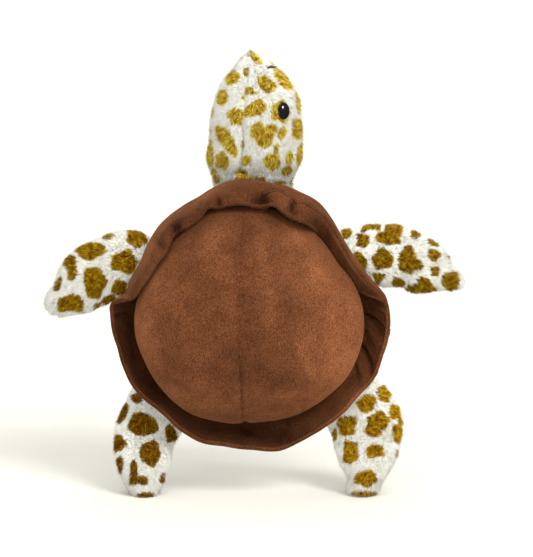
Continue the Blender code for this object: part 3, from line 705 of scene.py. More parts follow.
def rimFolds(degrees, across):
    push = np.zeros(len(degrees))
    folded = foldedShare(degrees)
    outer = np.interp(folded, (0.0, 0.1, 0.24, 0.5, 1.0), (1.0, 0.86, 0.72, 0.58, 0.5))
    broad = 0.22 - 0.12 * folded
    seen = 1 - 2 * folded * smoothStep(0.4, 0.6, across)      # the cuff shows its other side
    for middle, deep, wide, low, high, *lean in rim["folds"]:
        turn = middle + sum(lean) * (across - 0.55)
        off = np.mod(degrees - turn + 180.0, 360.0) - 180.0
        span = smoothStep(low - 0.12, low + 0.22, across) * (1 - smoothStep(high - 0.1, high + 0.1, across))
        # a fold opens towards the edge
        wide = wide * (0.45 + 0.55 * smoothStep(low - 0.12, 0.95, across))
        span *= 1 - 0.96 * np.exp(-((across - outer) / broad) ** 2)
        span *= 1 - 0.8 * folded * smoothStep(0.84, 0.98, across)
        push -= deep * np.exp(-(off / wide) ** 2) * span * seen
    return push


def buildRim():
    for side, start, end in (("Left", 90.0, 270.0), ("Right", -90.0, 90.0)):
        for ply, sign in (("Face", 1), ("Back", -1)):
            def shape(u, v):
                return rimMiddle(start + (end - start) * u, v)
            piece = clothPanel("rim" + ply + side, 180, 62, shape)
            weft = weftOf(piece)
            degrees, across = start + (end - start) * weft[:, 0], weft[:, 1]
            step = 0.002
            along = rimMiddle(degrees + step, across) - rimMiddle(degrees - step, across)
            over = rimMiddle(degrees, np.minimum(across + step, 1)) - rimMiddle(degrees, np.maximum(across - step, 0))
            faceNormal = unit(np.cross(over, along))
            loft = rim["loft"] * (0.35 + np.sin(np.pi * np.clip(across, 0, 1)) ** 0.6)
            soft = 0.0011 * wobble(pointsOf(piece), 30.0, 7) + 0.0005 * wobble(pointsOf(piece), 80.0, 8)
            edge = smoothStep(0.03, 0.2, across)
            push = rimFolds(degrees, across) + soft * edge + sign * loft
            low, high, at, deep = rim["stitchLine"]
            lined = smoothStep(low, low + 6, degrees) * (1 - smoothStep(high - 6, high, degrees))
            line = lined * np.exp(-((across - at) / 0.018) ** 2)
            push -= sign * deep * line
            bead = 0.0011 * np.exp(-((across - 0.97) / 0.02) ** 2)
            points = pointsOf(piece) + faceNormal * (push + sign * bead)[:, None]
            off = points[:, (0, 2)] - shellMiddle[[0, 2]]
            reach = np.linalg.norm(off, axis=1)
            most = np.maximum(ringRadius("edge", degrees) + 0.0012, ringRadius("fold", degrees) + 0.0023)
            points[:, (0, 2)] = shellMiddle[[0, 2]] + off * np.minimum(1.0, most / reach)[:, None]
            putPoints(piece, points)
            out = np.sum(normalsOf(piece) * faceNormal, 1) * sign
            if np.mean(out) < 0:
                takeUp(piece)
                bpy.ops.object.mode_set(mode="EDIT")
                bpy.ops.mesh.select_all(action="SELECT")
                bpy.ops.mesh.flip_normals()
                bpy.ops.object.mode_set(mode="OBJECT")
            # painted light along the open rim's outer edge and painted shade along the stitch line's groove
            paintNapLightAndShade(piece, *rim["nap"], 0.2 * smoothStep(0.9, 0.97, across) * (1 - foldedShare(degrees)) - 0.12 * line)
            backCloth(piece, rim["cloth"])
            node = "rim_" + ply.lower() + "_" + side.lower()
            dress(piece, velour, "shell", (node,))
    print("rim sewn")


# Spots of the plush, in the photograph's pixels: middle, width, height, tilt in degrees, corners
spots = {
    "head": ((255, 58, 18, 6, -50, 0), (241, 59, 4, 8, -25, 0), (274, 61, 11, 4, -55, 0),
             (234, 78, 16, 16, 10, 5), (246, 72, 5, 9, -20, 0), (266, 84, 21, 14, -45, 4),
             (282, 80, 25, 10, -50, 0), (288, 75, 3, 6, 0, 0), (224, 97, 14, 16, 0, 5),
             (250, 91, 14, 9, -20, 3), (243, 98, 3, 5, 0, 0), (256, 108, 20, 14, 30, 0),
             (248, 112, 10, 8, 0, 0), (236, 116, 15, 17, 20, 5), (298, 103, 6, 23, 8, 0),
             (215, 113, 6, 12, 0, 0), (258, 130, 15, 15, 0, 0), (271, 129, 13, 11, 0, 0),
             (264, 138, 21, 21, -90, 3), (282, 132, 7, 13, -20, 0), (296, 128, 15, 23, 4, 4),
             (227, 140, 34, 12, -58, 0), (243, 144, 4, 9, 0, 0), (300, 154, 6, 23, -6, 0),
             (272, 161, 16, 16, 0, 0), (276, 149, 5, 12, -8, 0), (289, 157, 8, 14, 0, 0),
             (286, 169, 13, 12, 20, 4), (211, 153, 10, 26, 0, 0), (223, 160, 14, 17, 0, 5),
             (247, 160, 9, 11, -30, 0), (241, 174, 15, 13, 0, 4), (253, 175, 14, 11, 0, 4),
             (218, 175, 8, 13, -8, 0), (210, 130, 5, 9, 0, 0), (280, 111, 18, 21, 0, 5)),
    "neck": ((289, 179, 8, 11, 15, 0), (279, 182, 14, 4, 0, 0), (218, 176, 7, 14, -8, 0),
             (247, 175, 25, 13, 0, 4), (262, 178, 7, 6, 0, 0)),
    "frontLeft": ((137, 239, 21, 17, -25, 5), (108, 236, 11, 7, 15, 0), (92, 251, 26, 16, 12, 0),
                  (82, 247, 14, 8, 35, 0), (125, 262, 26, 22, 0, 5), (71, 263, 12, 16, 0, 0),
                  (73, 274, 9, 13, -20, 0), (95, 282, 21, 30, 0, 6), (120, 287, 16, 17, -20, 4),
                  (59, 284, 6, 15, -20, 0), (71, 303, 29, 18, 5, 4), (109, 299, 15, 9, 15, 0),
                  (97, 304, 9, 9, 0, 3), (82, 313, 8, 3, 0, 0)),
    "frontRight": ((346, 234, 10, 11, 0, 0), (362, 241, 14, 15, -10, 4), (363, 231, 4, 9, 0, 0),
                   (372, 227, 18, 8, 0, 4), (393, 228, 20, 12, 0, 4), (388, 238, 28, 14, -3, 4),
                   (414, 235, 10, 10, -20, 5), (432, 242, 12, 7, -35, 0), (360, 261, 10, 19, 25, 0),
                   (382, 259, 20, 20, 0, 6), (407, 260, 17, 26, 0, 0), (416, 265, 15, 13, -10, 3),
                   (433, 255, 14, 12, -30, 4), (434, 271, 10, 11, 0, 4), (378, 277, 13, 12, 20, 3),
                   (397, 282, 15, 13, 0, 3), (420, 288, 30, 9, 0, 0), (424, 282, 18, 11, -20, 3),
                   (450, 281, 17, 20, 0, 5), (447, 257, 4, 6, -30, 0)),
    "rearLeft": ((138, 398, 11, 10, 0, 0), (123, 412, 10, 25, -14, 4), (143, 424, 29, 23, -12, 5),
                 (171, 433, 12, 20, 8, 4), (120, 443, 14, 20, 0, 3), (150, 453, 20, 25, 0, 5),
                 (169, 454, 9, 9, 0, 5), (121, 464, 8, 16, 0, 0), (122, 476, 3, 14, -18, 0),
                 (134, 470, 8, 21, 0, 4), (139, 480, 21, 10, 0, 4), (161, 477, 8, 11, 0, 4),
                 (145, 495, 19, 7, 3, 4)),
    "rearRight": ((384, 393, 15, 17, 0, 5), (366, 403, 19, 16, 30, 0), (394, 412, 12, 16, 0, 4),
                  (399, 421, 6, 9, 0, 0), (378, 421, 22, 18, 10, 5), (374, 430, 19, 14, 0, 4),
                  (347, 425, 21, 22, 0, 4), (397, 433, 10, 18, 0, 0), (351, 452, 17, 24, 0, 4),
                  (375, 451, 19, 14, 8, 4), (395, 452, 6, 9, 0, 0), (366, 478, 22, 16, 0, 5),
                  (387, 469, 10, 19, 30, 0), (349, 484, 8, 14, 0, 4), (365, 493, 28, 5, 0, 0),
                  (343, 466, 6, 20, -16, 0), (335, 434, 5, 13, 0, 0)),
}
hiddenSpots = {"radius": (0.0058, 0.0108), "gap": 0.0030, "tries": 2500, "facing": 0.02}


def cornerRadius(angle, corners):
    # Outline of a rounded polygon of about unit size at each angle.
    if not corners:
        return np.ones_like(angle)
    part = 2 * np.pi / corners
    angle = angle + (part / 2 if corners == 4 else 0.0)
    sharp = math.cos(part / 2) / np.cos(np.mod(angle, part) - part / 2)
    return 0.35 + 0.65 * sharp * (1.15 if corners == 3 else 1.08)


class SpotMap:
    # Olive patches on one plush part, each printed through the cloth along its own direction.

    def __init__(self, photoSpots, tree, roots, normals, seed, tone, lift, pale):
        self.patches = []
        # each part's olive scale, lift and paleness: partly its own colour, partly painted light and shade, lighter on
        # the head, darker on the rear left flipper, duller white on the front right flipper
        self.tone, self.lift, self.pale = np.array((*tone, 1.0)), lift, np.array((pale, pale, pale, 1.0))
        for index, (px, py, wide, high, tilt, corners) in enumerate(photoSpots):
            hit = seenOn(tree, px, py, 0.028)[0]
            size = photoView["metresPerPixel"] * 0.55
            turn = math.radians(tilt)
            first = viewRight * math.cos(turn) + viewUp * math.sin(turn)
            second = viewUp * math.cos(turn) - viewRight * math.sin(turn)
            self.add(hit, first, second, viewBack, wide * size, high * size, corners, index,
                     max(wide, high) * size * 1.05 + 0.001)
        self.fillHidden(roots, normals, seed)

    def add(self, middle, first, second, out, wide, high, corners, seed, deep):
        self.patches.append((np.array(middle), np.array(first), np.array(second), np.array(out),
                             wide, high, corners, seed, deep))

    def fillHidden(self, roots, normals, seed):
        chance = np.random.default_rng(seed)
        hidden = np.nonzero(normals @ np.array(viewBack) < hiddenSpots["facing"])[0]
        if not len(hidden):
            return
        for index in chance.choice(hidden, hiddenSpots["tries"]):
            radius = chance.uniform(*hiddenSpots["radius"])
            spot, normal = roots[index], normals[index]
            reach = [np.linalg.norm(spot - p[0]) - max(p[4], p[5]) for p in self.patches]
            if reach and min(reach) < radius + hiddenSpots["gap"]:
                continue
            first = unit(np.cross(normal, chance.normal(size=3)))
            second = np.cross(normal, first)
            self.add(spot, first, second, normal, radius * chance.uniform(0.8, 1.25), radius,
                     int(chance.integers(4, 7)), int(chance.integers(100)), radius + 0.002)

    def inside(self, points, normals):
        # 1 where a point is olive, and how near it is to the patch's edge.
        best = np.full(len(points), 9.0)
        for middle, first, second, out, wide, high, corners, seed, deep in self.patches:
            away = points - middle
            across, up, over = away @ first, away @ second, away @ out
            angle = np.arctan2(up / high, across / wide)
            radius = np.hypot(across / wide, up / high)
            edge = cornerRadius(angle, corners)
            edge = edge * (1 + 0.07 * np.sin(3 * angle + seed) + 0.05 * np.sin(5 * angle + 2 * seed))
            share = np.hypot(radius / edge, np.maximum(np.abs(over) - 0.35 * deep, 0.0) / (0.8 * deep))
            share = np.where(normals @ out > -0.3, share, 9.0)
            best = np.minimum(best, share)
        return best


# The pile itself: closed slender tips that lean along the plush and gather into tufts
pile = {
    "length": 0.0043, "width": 0.00064, "lean": 0.76, "spread": 0.38, "gather": 0.50,
    "density": 6.0e6, "most": 46000, "sink": 0.0003, "seamDip": 0.0030, "strays": 0.2,
}


def skinSource(piece, shape, combSign):
    # What the pile needs to know of the cloth that it grows on.
    mesh = piece.data
    mesh.calc_loop_triangles()
    corners = np.empty(len(mesh.loop_triangles) * 3, np.int32)
    mesh.loop_triangles.foreach_get("vertices", corners)
    weft = weftOf(piece)
    step = 0.004
    low, high = np.maximum(weft[:, 1] - step, 0), np.minimum(weft[:, 1] + step, 1)
    comb = unit(shape(weft[:, 0], high) - shape(weft[:, 0], low)) * combSign
    return {"points": pointsOf(piece), "normals": normalsOf(piece), "faces": corners.reshape(-1, 3),
            "weft": weft, "comb": comb}


def scatter(source, count, seed):
    chance = np.random.default_rng(seed)
    a, b, c = (source["points"][source["faces"][:, k]] for k in range(3))
    areas = np.linalg.norm(np.cross(b - a, c - a), axis=1) / 2
    picks = chance.choice(len(areas), count, p=areas / areas.sum())
    s, t = chance.random(count), chance.random(count)
    s, t = np.where(s + t > 1, 1 - s, s), np.where(s + t > 1, 1 - t, t)
    shares = np.stack([1 - s - t, s, t], 1)[:, :, None]

    def spread(values):
        return (values[source["faces"][picks]] * shares).sum(1)
    return {key: spread(source[key]) for key in ("points", "normals", "weft", "comb")}, chance


def pileCount(source, density, most):
    a, b, c = (source["points"][source["faces"][:, k]] for k in range(3))
    area = np.linalg.norm(np.cross(b - a, c - a), axis=1).sum() / 2
    return int(min(most, area * density))


def growPile(name, source, colourAt, seed, scale=1.0, seams=True, density=None):
    count = pileCount(source, density or pile["density"], pile["most"])
    roots, chance = scatter(source, count, seed)
    points, normals = roots["points"], unit(roots["normals"])
    swirl = np.array([noise.noise_vector(Vector(p) * 90.0) for p in points])
    fine = np.array([noise.noise_vector(Vector(p) * 380.0) for p in points])
    lay = roots["comb"] + 0.9 * swirl + 0.7 * fine + pile["spread"] * chance.normal(size=(count, 3))
    lay = unit(lay - normals * np.sum(lay * normals, 1, keepdims=True))
    lean = pile["lean"] + 0.16 * chance.normal(size=count)
    ways = unit(normals * np.cos(lean)[:, None] + lay * np.sin(lean)[:, None])
    length = pile["length"] * scale * chance.uniform(0.72, 1.15, count)
    stray = chance.random(count) < pile["strays"]
    length *= np.where(stray, 1.4, 1.0)
    if seams:
        width = pile["seamDip"]
        near = np.minimum(roots["weft"][:, 0], 1 - roots["weft"][:, 0])
        length *= 0.55 + 0.45 * smoothStep(0.0, width / 0.04, near)
    tips = points + ways * length[:, None]
    # tufts: each tip is drawn towards the tip of the nearest tuft
    leaders = max(count // 13, 1)
    tree = kdtree.KDTree(leaders)
    for index in range(leaders):
        tree.insert(points[index], index)
    tree.balance()
    nearest = np.array([tree.find(p)[1] for p in points])
    gather = pile["gather"] * np.where(stray, 0.1, chance.uniform(0.3, 1.25, count))[:, None]
    gathered = points[nearest] + ways[nearest] * pile["length"] * scale
    tips += (gathered - tips) * np.clip(gather, 0, 0.85)
    first = unit(np.cross(ways, chance.normal(size=(count, 3))))
    second = np.cross(ways, first)
    base = points - normals * pile["sink"]
    thick = pile["width"] * scale ** 0.5 * chance.uniform(0.75, 1.25, count)[:, None] / 2
    corners = [base + thick * (first * math.cos(turn) + second * math.sin(turn))
               for turn in (0.0, 2 * math.pi / 3, 4 * math.pi / 3)]
    vertices = np.stack(corners + [tips], 1).reshape(-1, 3)
    start = np.arange(count)[:, None, None] * 4
    faces = (start + np.array([[0, 1, 3], [1, 2, 3], [2, 0, 3], [0, 2, 1]])[None]).reshape(-1, 3)
    mesh = bpy.data.meshes.new(name)
    mesh.vertices.add(len(vertices))
    mesh.vertices.foreach_set("co", vertices.astype(np.float32).ravel())
    mesh.loops.add(faces.size)
    mesh.loops.foreach_set("vertex_index", faces.astype(np.int32).ravel())
    mesh.polygons.add(len(faces))
    mesh.polygons.foreach_set("loop_start", np.arange(0, faces.size, 3, dtype=np.int32))
    mesh.update(calc_edges=True)
    colours = colourAt(points + ways * length[:, None] * 0.45, normals, chance)
    tuftShade = 1 + chance.normal(size=leaders)[nearest] * 0.13
    colours[:, :3] *= tuftShade[:, None] ** np.where(colours[:, 2:3] > 0.5, 0.7, 1.0)
    layer = mesh.attributes.new("pileColour", "FLOAT_COLOR", "POINT")
    # painted shade at the strands' roots, deeper in the olive than in the white, and painted light at their tips
    rootShade = np.where(colours[:, 2] > 0.5, 0.94, 0.42)
    strands = np.ones((count, 4, 4))
    strands[:, :3, :3] = colours[:, None, :3] * rootShade[:, None, None]
    strands[:, 3, :3] = colours[:, :3] * 1.12
    strands = np.clip(strands, 0.0, 1.0)
    layer.data.foreach_set("color", strands.astype(np.float32).ravel())
    piece = bpy.data.objects.new(name, mesh)
    bpy.context.scene.collection.objects.link(piece)
    return piece


def spottedColours(spotMap):
    def colourAt(points, normals, chance):
        jitter = chance.normal(size=points.shape) * 0.00035
        share = spotMap.inside(points + jitter, normals)
        olive = share < 1.0
        mix = 0.5 + 0.75 * wobble(points, 420.0, 3) + 0.42 * chance.normal(size=len(points))
        bright = np.clip(mix + spotMap.lift, 0, 1)[:, None]
        mix = np.clip(mix, 0, 1)[:, None]
        dark, mid, light = (np.array(plushLook[k]) for k in ("oliveDark", "olive", "oliveLight"))
        greens = np.where(bright < 0.5, dark + (mid - dark) * bright * 2, mid + (light - mid) * (bright * 2 - 1))
        white, cream = np.array(plushLook["white"]), np.array(plushLook["cream"])
        pale = cream + (white - cream) * np.clip(mix + 0.22, 0, 1)
        lit = np.clip(normals @ unit(np.array(studio["lamps"][0][3])), 0, 1)[:, None]
        # painted shade: the pale pile is darkened where it faces the key lamp
        pale = pale * (1 - plushLook["keyLampShade"] * lit ** 3)
        edge = smoothStep(0.86, 1.0, share)[:, None]
        greens = (greens + (light - greens) * edge * 0.45) * spotMap.tone
        return np.where(olive[:, None], greens, pale * spotMap.pale)
    return colourAt


def tintSkin(piece, colourAt, seed, shade=0.94):
    # Paints the cloth under the pile, a little darker than the pile itself: painted shade, deep under the olive pile.
    chance = np.random.default_rng(seed)
    colours = colourAt(pointsOf(piece), normalsOf(piece), chance)
    colours[:, :3] *= np.where(colours[:, 2:3] > 0.5, 1.0, shade * 0.6)
    colours[:, 3] = 1.0
    layer = piece.data.attributes.new("pileColour", "FLOAT_COLOR", "POINT")
    layer.data.foreach_set("color", colours.astype(np.float32).ravel())


# Limbs: the two edges in the photograph's pixels from the hinge to the tip, each with the depth
# of the back and of the underside there from the hinge, in metres
# the last entry of each limb scales its olive and white: partly its own colour, partly painted shade, darker on the
# rear left flipper and duller white on the front right one
limbs = {
    "frontLeft": {
        "node": "front_flipper_left", "degrees": 153.0, "root": 0.011,
        "hinge": (-0.080522, 0.028826, 0.182589), "halfWidth": 0.015,
        "edges": (((142, 232), (134, 290), -0.0121, 0.0127), ((130, 230), (121, 298.5), -0.0129, 0.0136),
                  ((116, 231), (110, 303), -0.0136, 0.0141), ((102, 237), (99, 307.5), -0.0141, 0.0141),
                  ((90, 242), (88, 313), -0.0143, 0.0138), ((78, 248), (77, 314.5), -0.0138, 0.0125),
                  ((68, 257), (67, 316.5), -0.0127, 0.0110), ((60, 272), (60, 317), -0.0111, 0.0090),
                  ((55, 286), (55, 315), -0.0102, 0.0080)),
        "tip": (48, 303), "tipDepth": 0.0, "comb": 1, "tone": ((0.74, 0.66, 0.10), -0.08, 0.97), "floor": False,
    },
    "frontRight": {
        "node": "front_flipper_right", "degrees": 32.0, "root": 0.011,
        "hinge": (0.066072, 0.028826, 0.187063), "halfWidth": 0.015,
        "edges": (((344, 229), (363, 277), -0.0119, 0.0123), ((357, 226), (374, 284), -0.0125, 0.0132),
                  ((370, 224), (384, 287), -0.0133, 0.0139), ((383, 224.5), (394, 287), -0.0140, 0.0142),
                  ((396, 224), (403, 288), -0.0142, 0.0140), ((409, 228), (412, 293), -0.0142, 0.0136),
                  ((421, 234), (422, 294), -0.0136, 0.0123), ((432, 240), (432, 292), -0.0127, 0.0109),
                  ((442, 249), (442, 291), -0.0112, 0.0091), ((450, 260), (450, 291), -0.0099, 0.0077),
                  ((456, 270), (456, 290), -0.0080, 0.0058)),
        "tip": (461, 283), "tipDepth": 0.0, "comb": 1, "tone": ((0.62, 0.55, 0.09), -0.06, 0.91), "floor": False,
    },
    "rearLeft": {
        "node": "rear_flipper_left", "degrees": 229.0, "root": 0.0115,
        "hinge": (-0.063657, 0.028826, 0.0745), "halfWidth": 0.022,
        "edges": (((134, 386), (189, 423), -0.0121, 0.0117), ((126, 400), (184, 430), -0.0125, 0.0122),
                  ((119, 414), (178, 438), -0.0147, 0.0124), ((115, 430), (173.5, 447), -0.0212, 0.0113),
                  ((113.5, 444), (171.5, 457), -0.0283, 0.0092), ((115, 457), (170, 466), -0.0339, 0.0071),
                  ((118.5, 468), (167, 474), -0.0363, 0.0045), ((123.5, 480), (163, 483), -0.0378, 0.0017),
                  ((130, 491), (159, 492), -0.0370, -0.0023)),
        "tip": (146, 499.5), "tipDepth": -0.0207, "comb": 1, "tone": ((0.64, 0.53, 0.10), -0.26, 1.02), "floor": True,
    },
    "rearRight": {
        "node": "rear_flipper_right", "degrees": 311.0, "root": 0.0115,
        "hinge": (0.056735, 0.028826, 0.073914), "halfWidth": 0.022,
        "edges": (((369, 375), (320, 421), -0.0121, 0.0117), ((383, 383), (328, 429), -0.0125, 0.0122),
                  ((393, 396), (332, 438), -0.0147, 0.0124), ((402, 411), (334, 447), -0.0212, 0.0113),
                  ((403, 427), (337, 456), -0.0283, 0.0092), ((400, 442), (339.5, 464), -0.0339, 0.0071),
                  ((397, 455), (344, 471), -0.0363, 0.0045), ((390, 468), (347.5, 478), -0.0378, 0.0017),
                  ((382, 481), (347, 488), -0.0370, -0.0023)),
        "tip": (363, 496), "tipDepth": -0.0207, "comb": 1, "tone": ((0.96, 0.84, 0.18), -0.04, 1.02), "floor": True,
    },
}
plushInset = 0.0025      # the cloth lies this far under the outline that the pile makes
capSteps = (0.25, 0.5, 0.7, 0.85, 0.95)


def limbRows(limb):
    # Sections from the root's end to the tip: upper edge, lower edge, back and underside.
    hinge = Vector(limb["hinge"])
    angle = math.radians(limb["degrees"])
    inward = Vector((-math.cos(angle), 0.0, -math.sin(angle)))
    upward = Vector((-inward.z, 0.0, inward.x)) * math.copysign(1.0, inward.x)
    rows = []
    for part in (0.98, 0.88, 0.7, 0.45, 0.2):
        thin = math.sqrt(1 - part ** 2)
        middle = hinge + inward * limb["root"] * part
        half = upward * limb["halfWidth"] * thin ** 0.5
        rows.append((middle + half, middle - half, hinge.y - limb["root"] * thin, hinge.y + limb["root"] * thin))
    rows.append((hinge + upward * limb["halfWidth"], hinge - upward * limb["halfWidth"],
                 hinge.y - limb["root"], hinge.y + limb["root"]))
    for upper, lower, front, back in limb["edges"]:
        middle = hinge.y + (front + back) / 2
        rows.append((onPhoto(*upper, middle), onPhoto(*lower, middle), hinge.y + front, hinge.y + back))
    upper, lower, front, back = rows[-1]
    tip = onPhoto(*limb["tip"], hinge.y + limb["tipDepth"])
    for part in capSteps:
        thin = math.sqrt(1 - part ** 2) ** (0.5 if limb["floor"] else 0.9)
        middle = (upper + lower) / 2 * (1 - part) + tip * part
        half = (upper - lower) / 2 * thin
        depth = (front + back) / 2 * (1 - part) + tip.y * part
        deep = (back - front) / 2 * thin
        rows.append((middle + half, middle - half, depth - deep, depth + deep))
    rows.append((tip, tip, tip.y, tip.y))
    start = hinge + inward * limb["root"]
    rows.insert(0, (start, start, start.y, start.y))
    return np.array([[*upper, *lower, front, back] for upper, lower, front, back in rows])


def limbShape(limb, side):
    # side is -1 for the panel on the turtle's back and 1 for the one underneath.
    rows = limbRows(limb)
    middles = (rows[:, :3] + rows[:, 3:6]) / 2
    run = np.concatenate([[0], np.cumsum(np.maximum(np.linalg.norm(np.diff(middles, axis=0), axis=1), 1e-5))])
    run /= run[-1]

    def shape(u, v):
        row = flowing(run, rows, v)
        upper, lower, front, back = row[:, :3], row[:, 3:6], row[:, 6], row[:, 7]
        turn = np.pi * u
        middle, half = (upper + lower) / 2, (upper - lower) / 2
        size = np.linalg.norm(half, axis=1)
        shrink = np.maximum(size - plushInset, 0.0) / np.maximum(size, 1e-9)
        points = middle + half * (np.cos(turn) * shrink)[:, None]
        thick = np.maximum((back - front) / 2 - plushInset, 0.0)
        bulge = np.sin(turn) ** 1.25 * 0.6 + np.sin(turn) * 0.4
        points[:, 1] = (front + back) / 2 + side * thick * bulge
        if limb["floor"]:
            points[:, 2] = np.maximum(points[:, 2], 0.0006)
        return points
    return shape


def buildLimb(key, seed):
    limb = limbs[key]
    body = limb["node"]
    panels = []
    for panel, side in (("Top", -1), ("Underside", 1)):
        shape = limbShape(limb, side)
        piece = clothPanel(key + "Flipper" + panel, 34, 54, shape)
        centre = pointsOf(piece).mean(0)
        centre[1] = limb["hinge"][1] + (limb["tipDepth"] * 0.5)
        faceAway(piece, centre)
        panels.append((panel, side, piece, skinSource(piece, shape, limb["comb"])))
    allRoots = np.concatenate([p[3]["points"] for p in panels])
    allNormals = np.concatenate([p[3]["normals"] for p in panels])
    tree = treeOf([p[2] for p in panels])
    spotMap = SpotMap(spots[key], tree, allRoots, allNormals, seed, *limb["tone"])
    colourAt = spottedColours(spotMap)
    for panel, side, piece, source in panels:
        grown = growPile(key + "Pile" + panel, source, colourAt, seed + side + 3)
        if limb["floor"]:
            points = pointsOf(grown)
            points[:, 2] = np.maximum(points[:, 2], 0.0002)
            putPoints(grown, points)
        tintSkin(piece, colourAt, seed)
        backCloth(piece, shell["cloth"])
        dress(piece, plush, body, (limb["node"] + "_" + panel.lower(),))
        dress(grown, plush, body)
    makeFilling(key + "Filling", [tree], body, limb["node"] + "_stuffing")
    print(key, "flipper sewn")


fillingDepth = 0.0038     # under the covers' outside


def treeOf(pieces):
    # One search tree over the faces of several pieces.
    points, faces, offset = [], [], 0
    for piece in pieces:
        found = pointsOf(piece)
        points += found.tolist()
        faces += [[v + offset for v in face.vertices] for face in piece.data.polygons]
        offset += len(found)
    return BVHTree.FromPolygons(points, faces)


def makeFilling(name, covers, body, node):
    # Fibre under the covers, lumpy and held inside them.
    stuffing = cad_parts[node]
    piece = stuffing.copy()
    piece.data = stuffing.data.copy()
    piece.name = name
    piece.data.name = name
    for key in [k for k in piece.keys() if k.startswith("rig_")]:
        del piece[key]
    piece.parent = None
    bpy.context.scene.collection.objects.link(piece)
    takeUp(piece)
    bpy.ops.object.mode_set(mode="EDIT")
    bpy.ops.mesh.select_all(action="SELECT")
    bpy.ops.mesh.remove_doubles(threshold=0.00002)
    bpy.ops.object.mode_set(mode="OBJECT")
    finer = piece.modifiers.new("finer", "REMESH")
    finer.mode = "VOXEL"
    finer.voxel_size = 0.0025
    applyAll(piece)
    points, normals = pointsOf(piece), normalsOf(piece)
    lumps = 0.0009 * wobble(points, 120.0, 9) - 0.0012
    points += normals * lumps[:, None]
    for tree in covers:
        for index, point in enumerate(points):
            spot, out = tree.find_nearest(Vector(point))[:2]
            inside = (spot - Vector(point)).dot(out)
            if inside < fillingDepth:
                points[index] -= np.array(out) * (fillingDepth - inside)
    putPoints(piece, points)
    takeUp(piece)
    bpy.ops.object.shade_smooth()
    dress(piece, filling, body, (node,))


# Head: left and right outline in the photograph's pixels, row by row, from the seam to the nose
head = {
    "rows": ((181, 214, 291), (174, 211, 295), (168, 210, 297), (162, 208, 300), (156, 207, 302),
             (150, 208, 302), (144, 209.5, 302), (132, 210, 302), (120, 211, 301), (108, 213, 300.5),
             (102, 214.5, 299.5), (96, 216, 298), (90, 218, 295.5), (84, 220.5, 292), (78, 224, 288.5),
             (72, 229, 284), (66, 233.5, 277.5), (60, 238, 270), (55, 242.5, 262.5), (51.5, 246.5, 255)),
    "nose": (250, 45), "valley": 0.0036, "axisDepth": 0.0368, "seamHeight": 0.25342,
    # share of the height: the side towards the camera and the chin's side, in metres from the axis
    "depths": ((0.0, -0.0286, 0.0218), (0.125, -0.0346, 0.0251), (0.25, -0.0371, 0.0264),
               (0.375, -0.0389, 0.0254), (0.5, -0.0396, 0.0231), (0.62, -0.0376, 0.0185),
               (0.74, -0.0330, 0.0125), (0.85, -0.0264, 0.0053), (0.935, -0.0205, -0.0013),
               (0.985, -0.0152, -0.0059), (1.0, -0.0106, -0.0105)),
    "turn": 18.0,                    # the seam over the head is turned this far to the left
    "faceTurn": 34.0,                # and the face this far, which hides the other eye
}


def headShape(side):
    # side is 1 for the turtle's right cheek and -1 for its left one.
    nose = onPhoto(*head["nose"], head["axisDepth"] - 0.0106)
    valley = head["valley"]
    table = []
    for py, left, right in head["rows"]:
        spot = onPhoto(left, py, head["axisDepth"] - 0.006)
        other = onPhoto(right, py, head["axisDepth"] - 0.006)
        table.append((spot.z, spot.x, other.x))
    table = np.array(table)
    base = head["seamHeight"]
    start = [base, *flowing(table[:, 0], table[:, 1:], [base])[0]]
    table = np.array([start, *table[table[:, 0] > base + 0.001]])
    high = (table[:, 0] - base) / (nose.z - base)

    def shape(u, v):
        share = np.sin(v * np.pi / 2) ** 1.05
        share = np.where(v >= 1, 1.0, share)
        left, right = flowing(high, table[:, 1:], np.minimum(share, high[-1])).T
        closing = np.sqrt(np.clip(1 - ((share - high[-1]) / (1 - high[-1])).clip(0, 1) ** 2, 0, 1))
        centre = (left + right) / 2 * closing + nose.x * (1 - closing)
        half = np.maximum((right - left) / 2 * closing - plushInset * closing, 0)
        front, back = flowing(np.array(head["depths"])[:, 0], np.array(head["depths"])[:, 1:], share).T
        middle = head["axisDepth"] + (front + back) / 2
        deep = np.maximum((back - front) / 2 * np.maximum(closing, 0) - plushInset * closing, 0)
        start = math.radians(-90.0 - head["turn"])
        turn = start + side * np.pi * u
        dip = valley * closing * smoothStep(1.0, 0.8, share) * np.exp(-(u * np.pi * half / 0.0027) ** 2)
        half, deep = half - dip, deep - dip
        return np.stack([centre + half * np.cos(turn), middle + deep * np.sin(turn),
                         base + (nose.z - plushInset - base) * share], 1)
    return shape


def buildHead():
    panels = []
    for name, side in (("Right", 1), ("Left", -1)):
        shape = headShape(side)
        piece = clothPanel("headCover" + name, 44, 60, shape)
        centre = np.array([pointsOf(piece)[:, 0].mean() * 0.2, head["axisDepth"], head["seamHeight"] + 0.04])
        faceAway(piece, centre)
        panels.append((name, side, piece, skinSource(piece, shape, -1)))
    allRoots = np.concatenate([p[3]["points"] for p in panels])
    allNormals = np.concatenate([p[3]["normals"] for p in panels])
    tree = treeOf([p[2] for p in panels])
    spotMap = SpotMap(spots["head"], tree, allRoots, allNormals, 61, (1.42, 1.44, 1.35), 0.05, 1.05)
    twin, out = eyePlaces(tree)[1][1:]
    along = out.cross(Vector((0, 0, 1))).normalized()
    spotMap.add(twin, along, out.cross(along), out, *eyes["patch"], 5, 3, 0.012)
    colourAt = spottedColours(spotMap)
    for name, side, piece, source in panels:
        grown = growPile("headPile" + name, source, colourAt, 70 + side)
        clearEyes(grown, tree)
        clearNostrils(grown, tree)
        tintSkin(piece, colourAt, 5)
        backCloth(piece, shell["cloth"])
        dress(piece, plush, "head", ("head_cover_" + name.lower(),))
        dress(grown, plush, "head")
    makeFilling("headFilling", [tree], "head", "head_stuffing")
    print("head sewn")
    return tree


